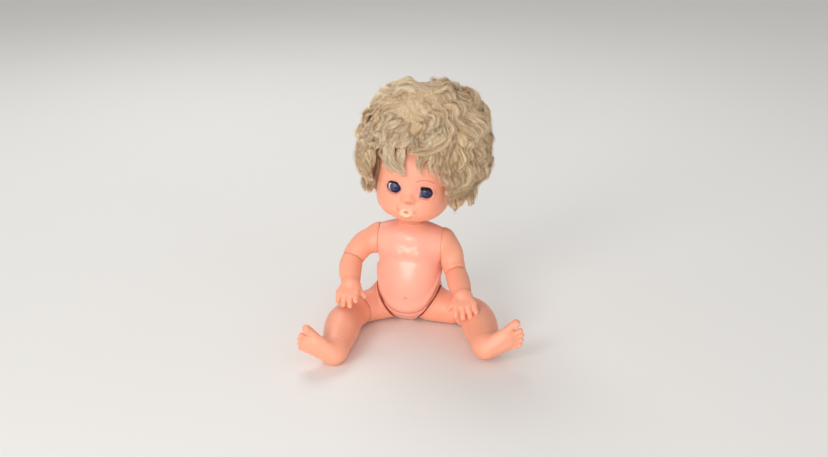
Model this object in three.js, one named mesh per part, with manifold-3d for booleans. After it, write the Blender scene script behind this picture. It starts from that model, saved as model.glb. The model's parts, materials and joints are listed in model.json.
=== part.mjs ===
// A jointed baby doll of soft vinyl on a hard plastic body, with rooted curly hair and sleeping eyes.
// It sits with its legs apart and its hands on its thighs. Millimetres, +Z up, facing -Y.
// Left and right are the doll's own, so its left side is at +X.
import * as THREE from "three";
import { LoftGeometry } from "three/addons/geometries/LoftGeometry.js";
import { mergeVertices } from "three/addons/utils/BufferGeometryUtils.js";
import Module from "manifold-3d";

const wasm = await Module();
wasm.setup();

const degrees = THREE.MathUtils.degToRad;
const point = (x, y, z) => new THREE.Vector3(x, y, z);

// Clearances
const GAP = 0.45; // between pieces that rest on each other
const RUN = 0.5; // round a joint's neck in its hole

// Torso
const TORSO_HEIGHT = 112;
const TORSO_HALF_WIDTH = 34.5;
const BELLY_DEPTH = 31;
const BACK_DEPTH = 28;
const TORSO_WALL = 2.2;
const TORSO_LEAN = 2.5; // degrees, towards the doll's left
const TORSO_TURN = -8; // degrees, towards the doll's right
const SEAT_SHIFT = -1.5; // of the torso's seat, from the point midway between the legs

// Joint between a limb and the torso
const FLANGE_RADIUS = 9.5;
const FLANGE_THICKNESS = 2;
const NECK_RADIUS = 6.5;
const BORE_RADIUS = 4;
const JOINT_BALL_DEPTH = 10; // from a joint's face back to the middle of the torso's ball there
const JOINT_BALL_LENGTH = 25;
const SHOULDER_RADIUS = 16.5;
const SHOULDER_FACE = 33.5; // from the midline to the flat face that the arm turns on
const SHOULDER_HEIGHT = 91;
const HIP_RADIUS = 17.5;
const HIP_FACE = 25;
const HIP_HEIGHT = 25;
const HIP_TILT = 32; // degrees that the hip axis points down

// Limbs
const LIMB_WALL = 2;
const PALM_LENGTH = 19;
const PALM_WIDTH = 25;
const PALM_THICKNESS = 12;
const WRIST_RADIUS = 8.8;
const FINGER_RADIUS = 2.75;
const FINGER_FAN = 22; // degrees that the outer fingers spread
const FOOT_LENGTH = 51;
const FOOT_WIDTH = 27;
const ANKLE_HEIGHT = 19; // from the sole to the end of the leg's centre line

// Head
const HEAD_CENTRE = 168; // height of the head's middle above the seat
const HEAD_HALF_WIDTH = 38.5;
const FACE_DEPTH = 41.5;
const SKULL_DEPTH = 44;
const HEAD_WALL = 3;
const HEAD_TURN = -3; // degrees, further towards the doll's right than the torso
const HEAD_TILT = 5.2; // degrees, towards the doll's left
const HEAD_SIDE = 3; // of the head's middle, from the neck's axis
const NOSE_LEVEL = -16;
const MOUTH_LEVEL = -31;
const MOUTH_WIDTH = 8;
const LIP_THICKNESS = 2.1;
const NECK_POST_RADIUS = 10;
const NECK_CAP_RADIUS = 13;
const NECK_CAP_THICKNESS = 3;
const NECK_RIM = 3.6; // thickness of the head's rim round the post

// Eyes
const EYE_SPACING = 30.5;
const EYE_LEVEL = -7.5;
const EYEBALL_RADIUS = 8;
const EYE_DEPTH = 28.6; // from the head's middle forward to the eyeball's middle
const EYE_TOE_OUT = 10; // degrees
const EYE_OPENING_WIDTH = 13.4;
const EYE_OPENING_HEIGHT = 10.2;
const HOUSING_WALL = 1.2;
const HOUSING_FRONT = 4.2;
const HOUSING_BACK = 2.4;
const AXLE_RADIUS = 0.8;
const IRIS_RADIUS = 4.5;
const IRIS_SEAT = 5.6; // depth of the iris's seat from the eyeball's middle
const GAZE = 7; // degrees that both irises look towards the doll's left
const LASH_LENGTH = 4.6;
const LASH_THICKNESS = 0.8;
const LASH_ANGLE = 33; // degrees above the eye's axis when open
const LASH_SPREAD = 32;
const EYE_CLOSING = 60; // degrees that an eye turns to shut
const WEIGHT_RADIUS = 3.2;
const WEIGHT_LENGTH = 8;
const WEIGHT_ARM = 9;
const WEIGHT_ANGLE = 60; // degrees below straight back

// Hair
const HAIR_HALF_WIDTH = 67;
const HAIR_FRONT_DEPTH = 52;
const HAIR_BACK_DEPTH = 60;
const HAIR_TOP = 97; // above the head's middle
const HAIR_SIDE = 3.5; // of the hair's middle, from the head's
const HAIR_SWEEP = 4; // further to the doll's left at the top
const HAIR_LUMP = 3; // height of the big curls
const HAIR_PARTING = 0.5; // gap between two locks of hair
const SCALP_GAP = 0.55; // between the hair and the scalp
const FRINGE_BOTTOM = 12; // above the head's middle
const TEMPLE_BOTTOM = -6;
const TEMPLE_DEPTH = -12; // in front of the head's middle
const SIDE_BOTTOM = { left: -19, right: -26 };
const NAPE_BOTTOM = -38;

// Makes a manifold solid from a closed geometry, with its faces pointing out.
function solid(geometry, matrix = new THREE.Matrix4()) {
  const shape = new THREE.BufferGeometry().copy(geometry);
  shape.deleteAttribute("normal").deleteAttribute("uv").applyMatrix4(matrix);
  const merged = mergeVertices(shape, 1e-3);
  const corners = merged.index.array;
  const faces = [];
  for (let i = 0; i < corners.length; i += 3) {
    const [a, b, c] = [corners[i], corners[i + 1], corners[i + 2]];
    if (a !== b && b !== c && c !== a) faces.push([a, b, c]);
  }
  const make = (triangles) =>
    new wasm.Manifold(
      new wasm.Mesh({
        numProp: 3,
        vertProperties: merged.attributes.position.array,
        triVerts: new Uint32Array(triangles.flat()),
      }),
    );
  const made = make(faces);
  return made.volume() < 0 ? make(faces.map(([a, b, c]) => [a, c, b])) : made;
}

// The solid's surface as a three.js mesh with a name and a material.
function mesh(name, shape, material) {
  const { vertProperties, triVerts } = shape.getMesh();
  const geometry = new THREE.BufferGeometry();
  geometry.setAttribute("position", new THREE.BufferAttribute(new Float32Array(vertProperties), 3));
  geometry.setIndex(new THREE.BufferAttribute(new Uint32Array(triVerts), 1));
  geometry.computeVertexNormals();
  const made = new THREE.Mesh(geometry, material);
  made.name = name;
  return made;
}

const join = (shapes) => shapes.reduce((all, one) => all.add(one));

// A matrix that carries +Z to a direction and the origin to a point.
function toward(direction, origin = point(0, 0, 0)) {
  const turn = new THREE.Quaternion().setFromUnitVectors(point(0, 0, 1), direction.clone().normalize());
  return new THREE.Matrix4().compose(origin, turn, point(1, 1, 1));
}

// A matrix from an origin, a turn in degrees about X, Y and Z in that order, and a scale.
function placed(origin, x = 0, y = 0, z = 0, scale = point(1, 1, 1)) {
  const turn = new THREE.Quaternion().setFromEuler(new THREE.Euler(degrees(x), degrees(y), degrees(z), "ZYX"));
  return new THREE.Matrix4().compose(origin, turn, scale);
}

function ellipsoid(centre, sizes, across = 14, down = 10) {
  return solid(new THREE.SphereGeometry(1, across, down), placed(centre, 90, 0, 0, point(sizes.x, sizes.z, sizes.y)));
}

// A round bar between two distances along a direction from a point.
function bar(radius, from, to, direction, origin, sides = 20) {
  const shape = new THREE.CylinderGeometry(radius, radius, to - from, sides);
  shape.rotateX(Math.PI / 2).translate(0, 0, (from + to) / 2);
  return solid(shape, toward(direction, origin));
}

// Everything on the far side of a plane, seen from its normal, as a large block.
function beyond(normal, origin, size = 400) {
  const block = new THREE.BoxGeometry(size, size, size).translate(0, 0, size / 2);
  return solid(block, toward(normal, origin));
}

// A smooth function through the pairs [place, value].
function smooth(pairs) {
  const places = new Float32Array(pairs.map(([place]) => place));
  const values = new Float32Array(pairs.map(([, value]) => value));
  const curve = new THREE.CubicInterpolant(places, values, 1, new Float32Array(1));
  return (place) => curve.evaluate(place)[0];
}

// A body of level sections. Each row of the outline is a height and the half width, front depth and back
// depth there; boxiness above 2 squares the section off.
function levelBody({ outline, rows, sides, boxiness = 2.3, shrink = 0 }) {
  const [width, front, back] = [1, 2, 3].map((column) => smooth(outline.map((row) => [row[0], row[column]])));
  const [low, high] = [outline[0][0] + shrink, outline[outline.length - 1][0] - shrink];
  const power = 2 / boxiness;
  const sections = [];
  for (let i = 0; i < rows; i++) {
    const level = low + ((high - low) * (1 - Math.cos((Math.PI * i) / (rows - 1)))) / 2;
    const size = (f) => Math.max(f(level) - shrink, 1);
    sections.push(
      Array.from({ length: sides }, (_, j) => {
        const turn = (2 * Math.PI * j) / sides;
        const [c, s] = [Math.cos(turn), Math.sin(turn)];
        const x = Math.sign(c) * Math.abs(c) ** power * size(width);
        const y = Math.sign(s) * Math.abs(s) ** power * size(s > 0 ? back : front);
        return point(x, y, level);
      }),
    );
  }
  return new LoftGeometry(sections, { capStart: true, capEnd: true });
}

// A limb along a smooth line of points. Radii are pairs of [share of the length, radius].
function limb({ line, radii, rings, sides, shrink = 0, from = 0, to = 1 }) {
  const curve = new THREE.CatmullRomCurve3(line);
  const frames = curve.computeFrenetFrames(rings);
  const radius = smooth(radii);
  const sections = [];
  for (let i = 0; i <= rings; i++) {
    const share = i / rings;
    if (share < from - 1e-6 || share > to + 1e-6) continue;
    const middle = curve.getPointAt(share);
    const reach = Math.max(radius(share) - shrink, 1);
    sections.push(
      Array.from({ length: sides }, (_, j) => {
        const turn = (2 * Math.PI * j) / sides;
        const side = frames.normals[i].clone().multiplyScalar(Math.cos(turn) * reach);
        return side.addScaledVector(frames.binormals[i], Math.sin(turn) * reach).add(middle);
      }),
    );
  }
  return solid(new LoftGeometry(sections, { capStart: true, capEnd: true }));
}

// A finger or toe from its root towards its tip.
function digit(root, direction, radius, length) {
  const shape = new THREE.CapsuleGeometry(radius, length, 2, 6).rotateX(Math.PI / 2);
  return solid(shape.translate(0, 0, length / 2), toward(direction, root));
}

// What lies inside the torso's wall: the neck of a limb's joint and the flange that holds it in.
function flange(axis, face) {
  const inside = -(GAP + TORSO_WALL + GAP);
  return join([
    bar(NECK_RADIUS, inside - FLANGE_THICKNESS, GAP + LIMB_WALL * 0.8, axis, face, 20),
    bar(FLANGE_RADIUS, inside - FLANGE_THICKNESS, inside, axis, face, 20),
  ]);
}

// A hollow limb that turns on a flat face of the torso: a rounded cap, the limb itself, and its flange.
function jointedLimb({ face, axis, capRadius, capHeight, outside, cavity }) {
  const seat = face.clone().addScaledVector(axis, GAP);
  const cap = (radius, height, around, rings) =>
    solid(new THREE.SphereGeometry(1, around, rings), toward(axis, seat).scale(point(radius, radius, height)));
  const hollow = join([cap(capRadius - LIMB_WALL, capHeight - LIMB_WALL, 10, 6), cavity]).subtract(
    beyond(axis.clone().negate(), seat.clone().addScaledVector(axis, LIMB_WALL)),
  );
  const bore = bar(BORE_RADIUS, -20, LIMB_WALL + 1, axis, seat, 12);
  return join([cap(capRadius, capHeight, 16, 8), ...outside])
    .subtract(beyond(axis.clone().negate(), seat))
    .add(flange(axis, face))
    .subtract(hollow)
    .subtract(bore);
}

const skin = new THREE.MeshStandardMaterial({ color: 0xf5a888, roughness: 0.5, metalness: 0 });
const body = new THREE.MeshStandardMaterial({ color: 0xf3a18a, roughness: 0.25, metalness: 0 });
const hairFibre = new THREE.MeshStandardMaterial({ color: 0xc9b58c, roughness: 0.6, metalness: 0 });
const eyeWhite = new THREE.MeshStandardMaterial({ color: 0xeeeae4, roughness: 0.15, metalness: 0 });
const irisBlue = new THREE.MeshStandardMaterial({ color: 0x35518f, roughness: 0.1, metalness: 0 });
const lashFibre = new THREE.MeshStandardMaterial({ color: 0x1c1512, roughness: 0.7, metalness: 0 });
const steel = new THREE.MeshStandardMaterial({ color: 0x8d8f92, roughness: 0.4, metalness: 1 });

// Torso

// Height, half width, front depth and back depth, as shares of the torso's own sizes.
const TORSO_OUTLINE = [
  [-0.012, 0.34, 0.2, 0.5],
  [0.02, 0.52, 0.36, 0.7],
  [0.09, 0.74, 0.7, 0.9],
  [0.18, 0.89, 0.89, 1],
  [0.3, 0.98, 0.98, 0.99],
  [0.42, 1, 1, 0.84],
  [0.52, 0.99, 0.96, 0.71],
  [0.62, 0.96, 0.88, 0.68],
  [0.7, 0.94, 0.81, 0.72],
  [0.8, 0.93, 0.76, 0.75],
  [0.89, 0.88, 0.66, 0.68],
  [0.95, 0.7, 0.54, 0.56],
  [1, 0.36, 0.38, 0.42],
].map(([height, width, front, back]) => [
  height * TORSO_HEIGHT,
  width * TORSO_HALF_WIDTH,
  front * BELLY_DEPTH,
  back * BACK_DEPTH,
]);

// The joints' places in the torso's own frame, for side 1 at the doll's left and -1 at its right.
const shoulderFace = (side) => point(side * SHOULDER_FACE, 0, SHOULDER_HEIGHT);
const shoulderAxis = (side) => point(side, 0, 0);
const hipFace = (side) => point(side * HIP_FACE, 0, HIP_HEIGHT);
const hipAxis = (side) => point(side * Math.cos(degrees(HIP_TILT)), 0, -Math.sin(degrees(HIP_TILT)));
const SIDES = [1, -1];
const UP = point(0, 0, 1);
const leaning = placed(point(SEAT_SHIFT, 0, 0), 0, TORSO_LEAN, TORSO_TURN);

// Heights of the neck joint, from the torso's top up: a gap, the head's rim, a gap and the cap.
const RIM_BOTTOM = TORSO_HEIGHT + 1.5;
const RIM_TOP = RIM_BOTTOM + NECK_RIM;
const NECK_CAP_BOTTOM = RIM_TOP + GAP;

function torsoShell() {
  // Balls that round the torso out to the flat faces of its joints.
  const ball = (face, axis, radius, shrink) => {
    const centre = face.clone().addScaledVector(axis, -JOINT_BALL_DEPTH);
    const round = radius / Math.sqrt(1 - (JOINT_BALL_DEPTH / JOINT_BALL_LENGTH) ** 2) - shrink;
    const shape = new THREE.SphereGeometry(1, 16, 10);
    return solid(shape, toward(axis, centre).scale(point(round, round, JOINT_BALL_LENGTH - shrink)));
  };
  const stubs = (shrink) =>
    SIDES.flatMap((side) => [
      ball(shoulderFace(side), shoulderAxis(side), SHOULDER_RADIUS, shrink).subtract(
        beyond(shoulderAxis(side), shoulderFace(side).addScaledVector(shoulderAxis(side), -shrink)),
      ),
      ball(hipFace(side), hipAxis(side), HIP_RADIUS, shrink).subtract(
        beyond(hipAxis(side), hipFace(side).addScaledVector(hipAxis(side), -shrink)),
      ),
    ]);
  const outer = join([
    solid(levelBody({ outline: TORSO_OUTLINE, rows: 16, sides: 22 })),
    ...stubs(0),
    bar(NECK_POST_RADIUS, TORSO_HEIGHT - 6, NECK_CAP_BOTTOM + NECK_CAP_THICKNESS, UP, point(0, 0, 0)),
    bar(NECK_CAP_RADIUS, NECK_CAP_BOTTOM, NECK_CAP_BOTTOM + NECK_CAP_THICKNESS, UP, point(0, 0, 0)),
  ]);
  const inner = join([
    solid(levelBody({ outline: TORSO_OUTLINE, rows: 10, sides: 14, shrink: TORSO_WALL })),
    ...stubs(TORSO_WALL),
  ]);
  const holes = SIDES.flatMap((side) => [
    bar(NECK_RADIUS + RUN, -TORSO_WALL - 6, 10, shoulderAxis(side), shoulderFace(side)),
    bar(NECK_RADIUS + RUN, -TORSO_WALL - 6, 10, hipAxis(side), hipFace(side)),
  ]);
  // Nothing of the torso stands proud of the four faces that the limbs turn on.
  const trims = SIDES.flatMap((side) => [
    beyond(shoulderAxis(side), shoulderFace(side)).intersect(
      bar(SHOULDER_RADIUS + 3, -1, 60, shoulderAxis(side), shoulderFace(side)),
    ),
    beyond(hipAxis(side), hipFace(side)).intersect(bar(HIP_RADIUS + 13, -1, 60, hipAxis(side), hipFace(side))),
  ]);
  // The seat is flat on the table.
  const inTorso = leaning.clone().invert().elements;
  const table = beyond(UP.clone().negate(), point(0, 0, 0)).transform(inTorso);
  const aboveSeat = beyond(UP, point(0, 0, TORSO_WALL)).transform(inTorso);
  return outer
    .subtract(join([...trims, ...holes, table]))
    .subtract(inner.intersect(aboveSeat));
}

// The shell is moulded as two halves that meet at a seam down each side.
function torsoHalves() {
  const shell = torsoShell();
  const half = GAP / 2;
  return [
    mesh("torso_front", shell.subtract(beyond(point(0, 1, 0), point(0, -half, 0))), body),
    mesh("torso_back", shell.subtract(beyond(point(0, -1, 0), point(0, half, 0))), body),
  ];
}

// Arms

// The hand is made at the wrist, fingers towards -Y, back of the hand up and thumb towards -X for the left
// hand. Bends are the degrees that the index to the little finger point down from the palm.
function hand(side, bends) {
  const [half, thick] = [PALM_WIDTH / 2, PALM_THICKNESS / 2];
  const parts = [
    ellipsoid(point(0, -PALM_LENGTH * 0.45, 0), point(half, PALM_LENGTH * 0.62, thick), 12, 9),
    ellipsoid(point(0, -1, 0), point(WRIST_RADIUS, 10, WRIST_RADIUS - 1), 12, 8),
  ];
  const knuckles = [-0.72, -0.22, 0.28, 0.74];
  const lengths = [9, 10, 9.5, 8];
  knuckles.forEach((share, i) => {
    const [fan, bend] = [degrees(share * FINGER_FAN), degrees(bends[i])];
    const root = point(share * half, -PALM_LENGTH * (0.86 - 0.22 * share * share), -0.4);
    const ahead = point(Math.sin(fan), -Math.cos(fan) * Math.cos(bend), -Math.sin(bend));
    parts.push(digit(root, ahead, FINGER_RADIUS, lengths[i]));
  });
  const thumb = point(-0.8, -0.62, -0.35);
  parts.push(digit(point(-half * 0.66, -PALM_LENGTH * 0.3, -1), thumb, FINGER_RADIUS * 1.1, 11));
  const shape = join(parts);
  return side > 0 ? shape : shape.mirror([1, 0, 0]);
}

// Radii along the arm, with the folds at the elbow and the wrist.
const ARM_RADII = [
  [0, 12.5],
  [0.2, 12.8],
  [0.4, 12.2],
  [0.52, 11.2],
  [0.6, 11.8],
  [0.74, 11.9],
  [0.88, 10.6],
  [1, WRIST_RADIUS],
];

// Centre lines from inside the shoulder cap to the wrist, how the hand is turned there about X, Y and Z, and
// how its fingers bend.
const ARMS = {
  left: {
    side: 1,
    line: [point(37, -4.5, 91), point(44, -7, 81), point(47, -12, 68), point(51, -26, 58.5), point(55.6, -51, 49.8)],
    turn: [31, -2.5, 7],
    bends: [6, 12, 12, -1],
  },
  right: {
    side: -1,
    line: [point(-35, 4.5, 93), point(-47, -1, 88), point(-58.5, -10, 76), point(-61.5, -22, 67.5), point(-60, -39, 58)],
    turn: [31, -2.5, -14],
    bends: [-27, 27, 30, 43],
  },
};

function arm(name, { side, line, turn, bends }) {
  const wrist = line[line.length - 1];
  const shape = jointedLimb({
    face: shoulderFace(side).applyMatrix4(leaning),
    axis: shoulderAxis(side).transformDirection(leaning),
    capRadius: SHOULDER_RADIUS,
    capHeight: 13,
    outside: [
      limb({ line, radii: ARM_RADII, rings: 12, sides: 12 }),
      hand(side, bends).transform(placed(wrist, ...turn).elements),
    ],
    cavity: limb({ line, radii: ARM_RADII, rings: 7, sides: 7, shrink: LIMB_WALL, to: 0.9 }),
  });
  return mesh(name, shape, skin);
}

// Legs

// The foot is made with its sole at Z 0, heel behind the origin, toes towards +X and the big toe at +Y.
function foot() {
  const [long, wide] = [FOOT_LENGTH / 58, FOOT_WIDTH / 26];
  // Distance forward, half width, and the heights of the sole and of the top.
  const outline = [
    [-10, 4, 5, 12],
    [-8, 7, 2, 17],
    [-3, 9.3, 0.2, 21],
    [4, 9.6, 0, 22],
    [12, 9.8, 0.5, 19],
    [20, 10.8, 1, 15.5],
    [28, 12.3, 0.3, 12.5],
    [34, 12.6, 0.4, 10.5],
    [38, 10, 2, 8.5],
  ];
  const sections = outline.map(([forward, half, sole, top]) =>
    Array.from({ length: 12 }, (_, j) => {
      const turn = (2 * Math.PI * j) / 12;
      const [c, s] = [Math.cos(turn), Math.sin(turn)];
      const across = Math.sign(c) * Math.abs(c) ** 0.85 * half * wide;
      const up = (sole + top) / 2 + (Math.sign(s) * Math.abs(s) ** 0.85 * (top - sole)) / 2;
      return point(forward * long, across, up);
    }),
  );
  const toes = [
    [8.6, 37, 4.6, 7],
    [1.8, 38.5, 2.9, 4.4],
    [-3, 37.5, 2.7, 4],
    [-7.3, 35.5, 2.5, 3.4],
    [-10.8, 32.5, 2.3, 2.8],
  ].map(([across, forward, radius, length]) =>
    digit(point(forward * long, across * wide, radius + 1), point(1, 0.08, -0.05), radius, length),
  );
  return join([solid(new LoftGeometry(sections, { capStart: true, capEnd: true })), ...toes]);
}

// Radii along the leg, with two folds above the calf.
const LEG_RADII = [
  [0, 18.4],
  [0.1, 17.6],
  [0.2, 16.9],
  [0.27, 15.8],
  [0.34, 16.6],
  [0.42, 16],
  [0.55, 16.4],
  [0.7, 16],
  [0.85, 14.6],
  [1, 12],
];

// Centre lines from inside the hip to the ankle, and the way that the toes point. The right leg lies on the
// table, and the left one is raised a little.
const LEGS = {
  left: {
    side: 1,
    line: [
      [24, -7, 19.4],
      [42.5, -11.5, 17.6],
      [57.5, -17.5, 17],
      [67, -30, 19.6],
      [71.5, -47, 20],
      [74, -66, 19.6],
      [76, -84, 18.4],
      [77, -96, 17.6],
    ],
    toes: point(0.85, 0, 0.52),
  },
  right: {
    side: -1,
    line: [
      [-24, 0, 19.4],
      [-42, -7, 17.6],
      [-54, -18, 17],
      [-62.5, -35, 18],
      [-67.5, -52, 18.6],
      [-69.2, -68, 17.8],
      [-71.6, -84, 15.4],
      [-73.5, -98, 12.9],
    ],
    toes: point(-0.75, 0, 0.66),
  },
};

function leg(name, { side, line, toes }) {
  const points = line.map((place) => point(...place));
  const ankle = points[points.length - 1];
  const shin = ankle.clone().sub(points[points.length - 3]).normalize();
  // The foot's own axes: toes ahead, big toe towards the other leg, and its top towards the knee.
  const top = shin.clone().negate();
  const ahead = toes.clone().addScaledVector(top, -toes.dot(top)).normalize();
  const across = top.clone().cross(ahead);
  const carried = new THREE.Matrix4()
    .makeBasis(ahead, across, top)
    .setPosition(ankle.clone().addScaledVector(shin, ANKLE_HEIGHT).addScaledVector(ahead, -1));
  const sole = side > 0 ? foot().mirror([0, 1, 0]) : foot();
  const shape = jointedLimb({
    face: hipFace(side).applyMatrix4(leaning),
    axis: hipAxis(side).transformDirection(leaning),
    capRadius: HIP_RADIUS,
    capHeight: 15,
    outside: [limb({ line: points, radii: LEG_RADII, rings: 16, sides: 12 }), sole.transform(carried.elements)],
    cavity: limb({ line: points, radii: LEG_RADII, rings: 9, sides: 7, shrink: LIMB_WALL, to: 0.9 }),
  });
  return mesh(name, shape, skin);
}

// Head

// Height from the head's middle, half width, front depth and back depth.
const HEAD_OUTLINE = [
  [-58, 0.36, 0.33, 0.33],
  [-53, 0.39, 0.35, 0.36],
  [-49, 0.52, 0.54, 0.42],
  [-46, 0.66, 0.79, 0.47],
  [-42, 0.79, 0.91, 0.54],
  [-35, 0.91, 0.96, 0.64],
  [-26, 0.98, 0.98, 0.77],
  [-14, 1, 1, 0.9],
  [0, 1, 1, 0.99],
  [14, 1, 1, 1],
  [28, 0.92, 0.9, 0.93],
  [40, 0.72, 0.7, 0.73],
  [48, 0.44, 0.43, 0.45],
  [52, 0.12, 0.12, 0.12],
].map(([height, width, front, back]) => [
  height,
  width * HEAD_HALF_WIDTH,
  front * FACE_DEPTH,
  back * SKULL_DEPTH,
]);

// Swellings and hollows of the face: place across and up, how far they spread, and how far they stand out.
const FACE_FORMS = [
  { x: 23, z: -24, spread: 11, out: 2.6 }, // cheeks
  { x: EYE_SPACING / 2, z: EYE_LEVEL, spread: 7.5, out: -2.4 }, // eye sockets
  { x: 0, z: -40, spread: 7, out: 2.4 }, // chin
  { x: 0, z: 16, spread: 16, out: 1.6 }, // forehead
  { x: 0, z: MOUTH_LEVEL, spread: 6.5, out: 2.6 }, // mouth
];

// A point of the head's outer skin, moved forward or back by the forms of the face.
function faceForward(x, z) {
  return FACE_FORMS.reduce((sum, form) => {
    const reach = (side) => Math.exp(-((x - side * form.x) ** 2 + (z - form.z) ** 2) / (2 * form.spread ** 2));
    return sum + form.out * (form.x ? reach(1) + reach(-1) : reach(1));
  }, 0);
}

// The head without its nose, lips and ears, grown by a clearance.
function headForm(grow = 0) {
  const shape = levelBody({ outline: HEAD_OUTLINE, rows: 20, sides: 24, boxiness: 2.4 });
  const places = shape.attributes.position;
  for (let i = 0; i < places.count; i++) {
    const [x, y, z] = [places.getX(i), places.getY(i), places.getZ(i)];
    const facing = THREE.MathUtils.smoothstep(-y, 8, 26);
    places.setY(i, y - facing * faceForward(x, z));
  }
  const scale = 1 + grow / HEAD_HALF_WIDTH;
  return solid(shape, new THREE.Matrix4().makeScale(scale, scale, scale));
}

const ears = (grow = 0) =>
  SIDES.map((side) =>
    ellipsoid(point(side * HEAD_HALF_WIDTH * 0.98, 4, -10), point(3.6 + grow, 6 + grow, 9 + grow), 10, 7),
  );

function headSkin() {
  const nose = join([
    ellipsoid(point(0, -FACE_DEPTH - 0.4, NOSE_LEVEL + 1), point(6, 5, 4.9), 12, 8),
    ellipsoid(point(0, -FACE_DEPTH + 3.6, NOSE_LEVEL + 6), point(4.8, 4.6, 8), 12, 7),
  ]);
  // The lips stand out above and below the open mouth.
  const lips = [1, -1].map((way) =>
    ellipsoid(
      point(0, -FACE_DEPTH - 1.4, MOUTH_LEVEL + way * LIP_THICKNESS),
      point(MOUTH_WIDTH * 0.8, 4, LIP_THICKNESS),
      12,
      6,
    ),
  );
  return join([headForm(), nose, ...lips, ...ears()]);
}

// The head's own frame in the torso's: its middle, and its turn and tilt.
const headPlace = placed(point(HEAD_SIDE, -2, HEAD_CENTRE), 0, HEAD_TILT, HEAD_TURN);
const torsoPlace = headPlace.clone().invert();

// An eye's frame in the head's: its middle, turned outwards.
const eyePlace = (side) => placed(point((side * EYE_SPACING) / 2, -EYE_DEPTH, EYE_LEVEL), 0, 0, side * EYE_TOE_OUT);

const HOUSING_RADIUS = EYEBALL_RADIUS + GAP + HOUSING_WALL;
const FRONT = point(0, -1, 0);
const ORIGIN = point(0, 0, 0);

// The eyelids' opening, wider at the outside than at the eyeball.
function eyeOpening() {
  const section = (depth, width, height) =>
    Array.from({ length: 22 }, (_, j) => {
      const turn = (2 * Math.PI * j) / 22;
      return point((Math.cos(turn) * width) / 2, -depth, (Math.sin(turn) * height) / 2);
    });
  const [width, height] = [EYE_OPENING_WIDTH, EYE_OPENING_HEIGHT];
  const sections = [
    section(0, width * 0.9, height * 0.9),
    section(EYEBALL_RADIUS * 0.8, width * 0.98, height * 0.98),
    section(EYEBALL_RADIUS + 8, width * 1.7, height * 1.75),
  ];
  return solid(new LoftGeometry(sections, { capStart: true, capEnd: true }));
}

function headShell() {
  const outer = headSkin();
  const cavity = solid(levelBody({ outline: HEAD_OUTLINE, rows: 10, sides: 14, boxiness: 2.3, shrink: HEAD_WALL }));
  // The hollow stops above the rim that grips the neck post.
  const aboveRim = beyond(UP, point(0, 0, RIM_TOP)).transform(torsoPlace.elements);
  const inEye = (side, shape) => shape.transform(eyePlace(side).elements);
  const bosses = SIDES.map((side) => inEye(side, bar(HOUSING_RADIUS + GAP + 2, -1.5, 20, FRONT, ORIGIN)));
  const hollow = cavity.intersect(aboveRim).subtract(join(bosses).intersect(outer));
  const neck = bar(NECK_CAP_RADIUS + RUN, RIM_TOP, RIM_TOP + 12, UP, ORIGIN).transform(torsoPlace.elements);
  const cuts = SIDES.flatMap((side) => [
    inEye(side, bar(HOUSING_RADIUS + GAP, -20, HOUSING_FRONT + GAP, FRONT, ORIGIN)),
    inEye(side, ellipsoid(ORIGIN, point(1, 1, 1).multiplyScalar(EYEBALL_RADIUS + RUN + 0.2))),
    inEye(side, eyeOpening()),
    inEye(side, lashSweep()),
  ]);
  const throat = bar(NECK_POST_RADIUS + RUN, RIM_BOTTOM - 20, RIM_TOP + 5, UP, ORIGIN).transform(torsoPlace.elements);
  const belowRim = beyond(UP.clone().negate(), point(0, 0, RIM_BOTTOM)).transform(torsoPlace.elements);
  const mouth = ellipsoid(point(0, -FACE_DEPTH, MOUTH_LEVEL), point(MOUTH_WIDTH / 2, 12, 1.7), 10, 6);
  return outer.subtract(join([hollow, neck, ...cuts, throat, belowRim, mouth]));
}

// Eyes

function eyeHousing(side) {
  const tube = bar(HOUSING_RADIUS, -HOUSING_BACK, HOUSING_FRONT, FRONT, ORIGIN, 24);
  const bore = bar(EYEBALL_RADIUS + GAP, -HOUSING_BACK - 1, HOUSING_FRONT + 1, FRONT, ORIGIN, 24);
  const pivots = bar(AXLE_RADIUS + 0.3, -20, 20, point(1, 0, 0), ORIGIN, 12);
  return tube.subtract(bore).subtract(pivots);
}

// The direction of the iris in the eye's frame, which undoes the eye's outward turn.
const gazeOf = (side) => {
  const turn = degrees(GAZE - side * EYE_TOE_OUT);
  return point(Math.sin(turn), -Math.cos(turn), 0);
};

function lashes(thickness, inner, spread, outer = EYEBALL_RADIUS + LASH_LENGTH, angle = LASH_ANGLE) {
  const plate = new THREE.Shape();
  const half = degrees(spread);
  plate.absarc(0, 0, outer, -Math.PI / 2 - half, -Math.PI / 2 + half, false);
  plate.absarc(0, 0, inner, -Math.PI / 2 + half, -Math.PI / 2 - half, true);
  const shape = new THREE.ExtrudeGeometry(plate, { depth: thickness, bevelEnabled: false, curveSegments: 8 });
  return solid(shape.translate(0, 0, -thickness / 2), placed(ORIGIN, -angle, 0, 0));
}

// The room in front of the eyeball that the lashes pass through as the eye shuts.
function lashSweep() {
  const profile = new THREE.Shape();
  const [near, far] = [EYEBALL_RADIUS - 1, EYEBALL_RADIUS + LASH_LENGTH + 2 * RUN];
  const [low, high] = [degrees(LASH_ANGLE - EYE_CLOSING - 8), degrees(LASH_ANGLE + 8)];
  profile.absarc(0, 0, far, low, high, false);
  profile.absarc(0, 0, near, high, low, true);
  const half = Math.sin(degrees(LASH_SPREAD)) * (EYEBALL_RADIUS + LASH_LENGTH) + RUN;
  const shape = new THREE.ExtrudeGeometry(profile, { depth: 2 * half, bevelEnabled: false, curveSegments: 6 });
  // The profile's X is ahead of the eye, its Y up, and its depth across.
  const across = new THREE.Matrix4().makeBasis(FRONT, UP, point(-1, 0, 0)).setPosition(half, 0, 0);
  return solid(shape, across);
}

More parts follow.
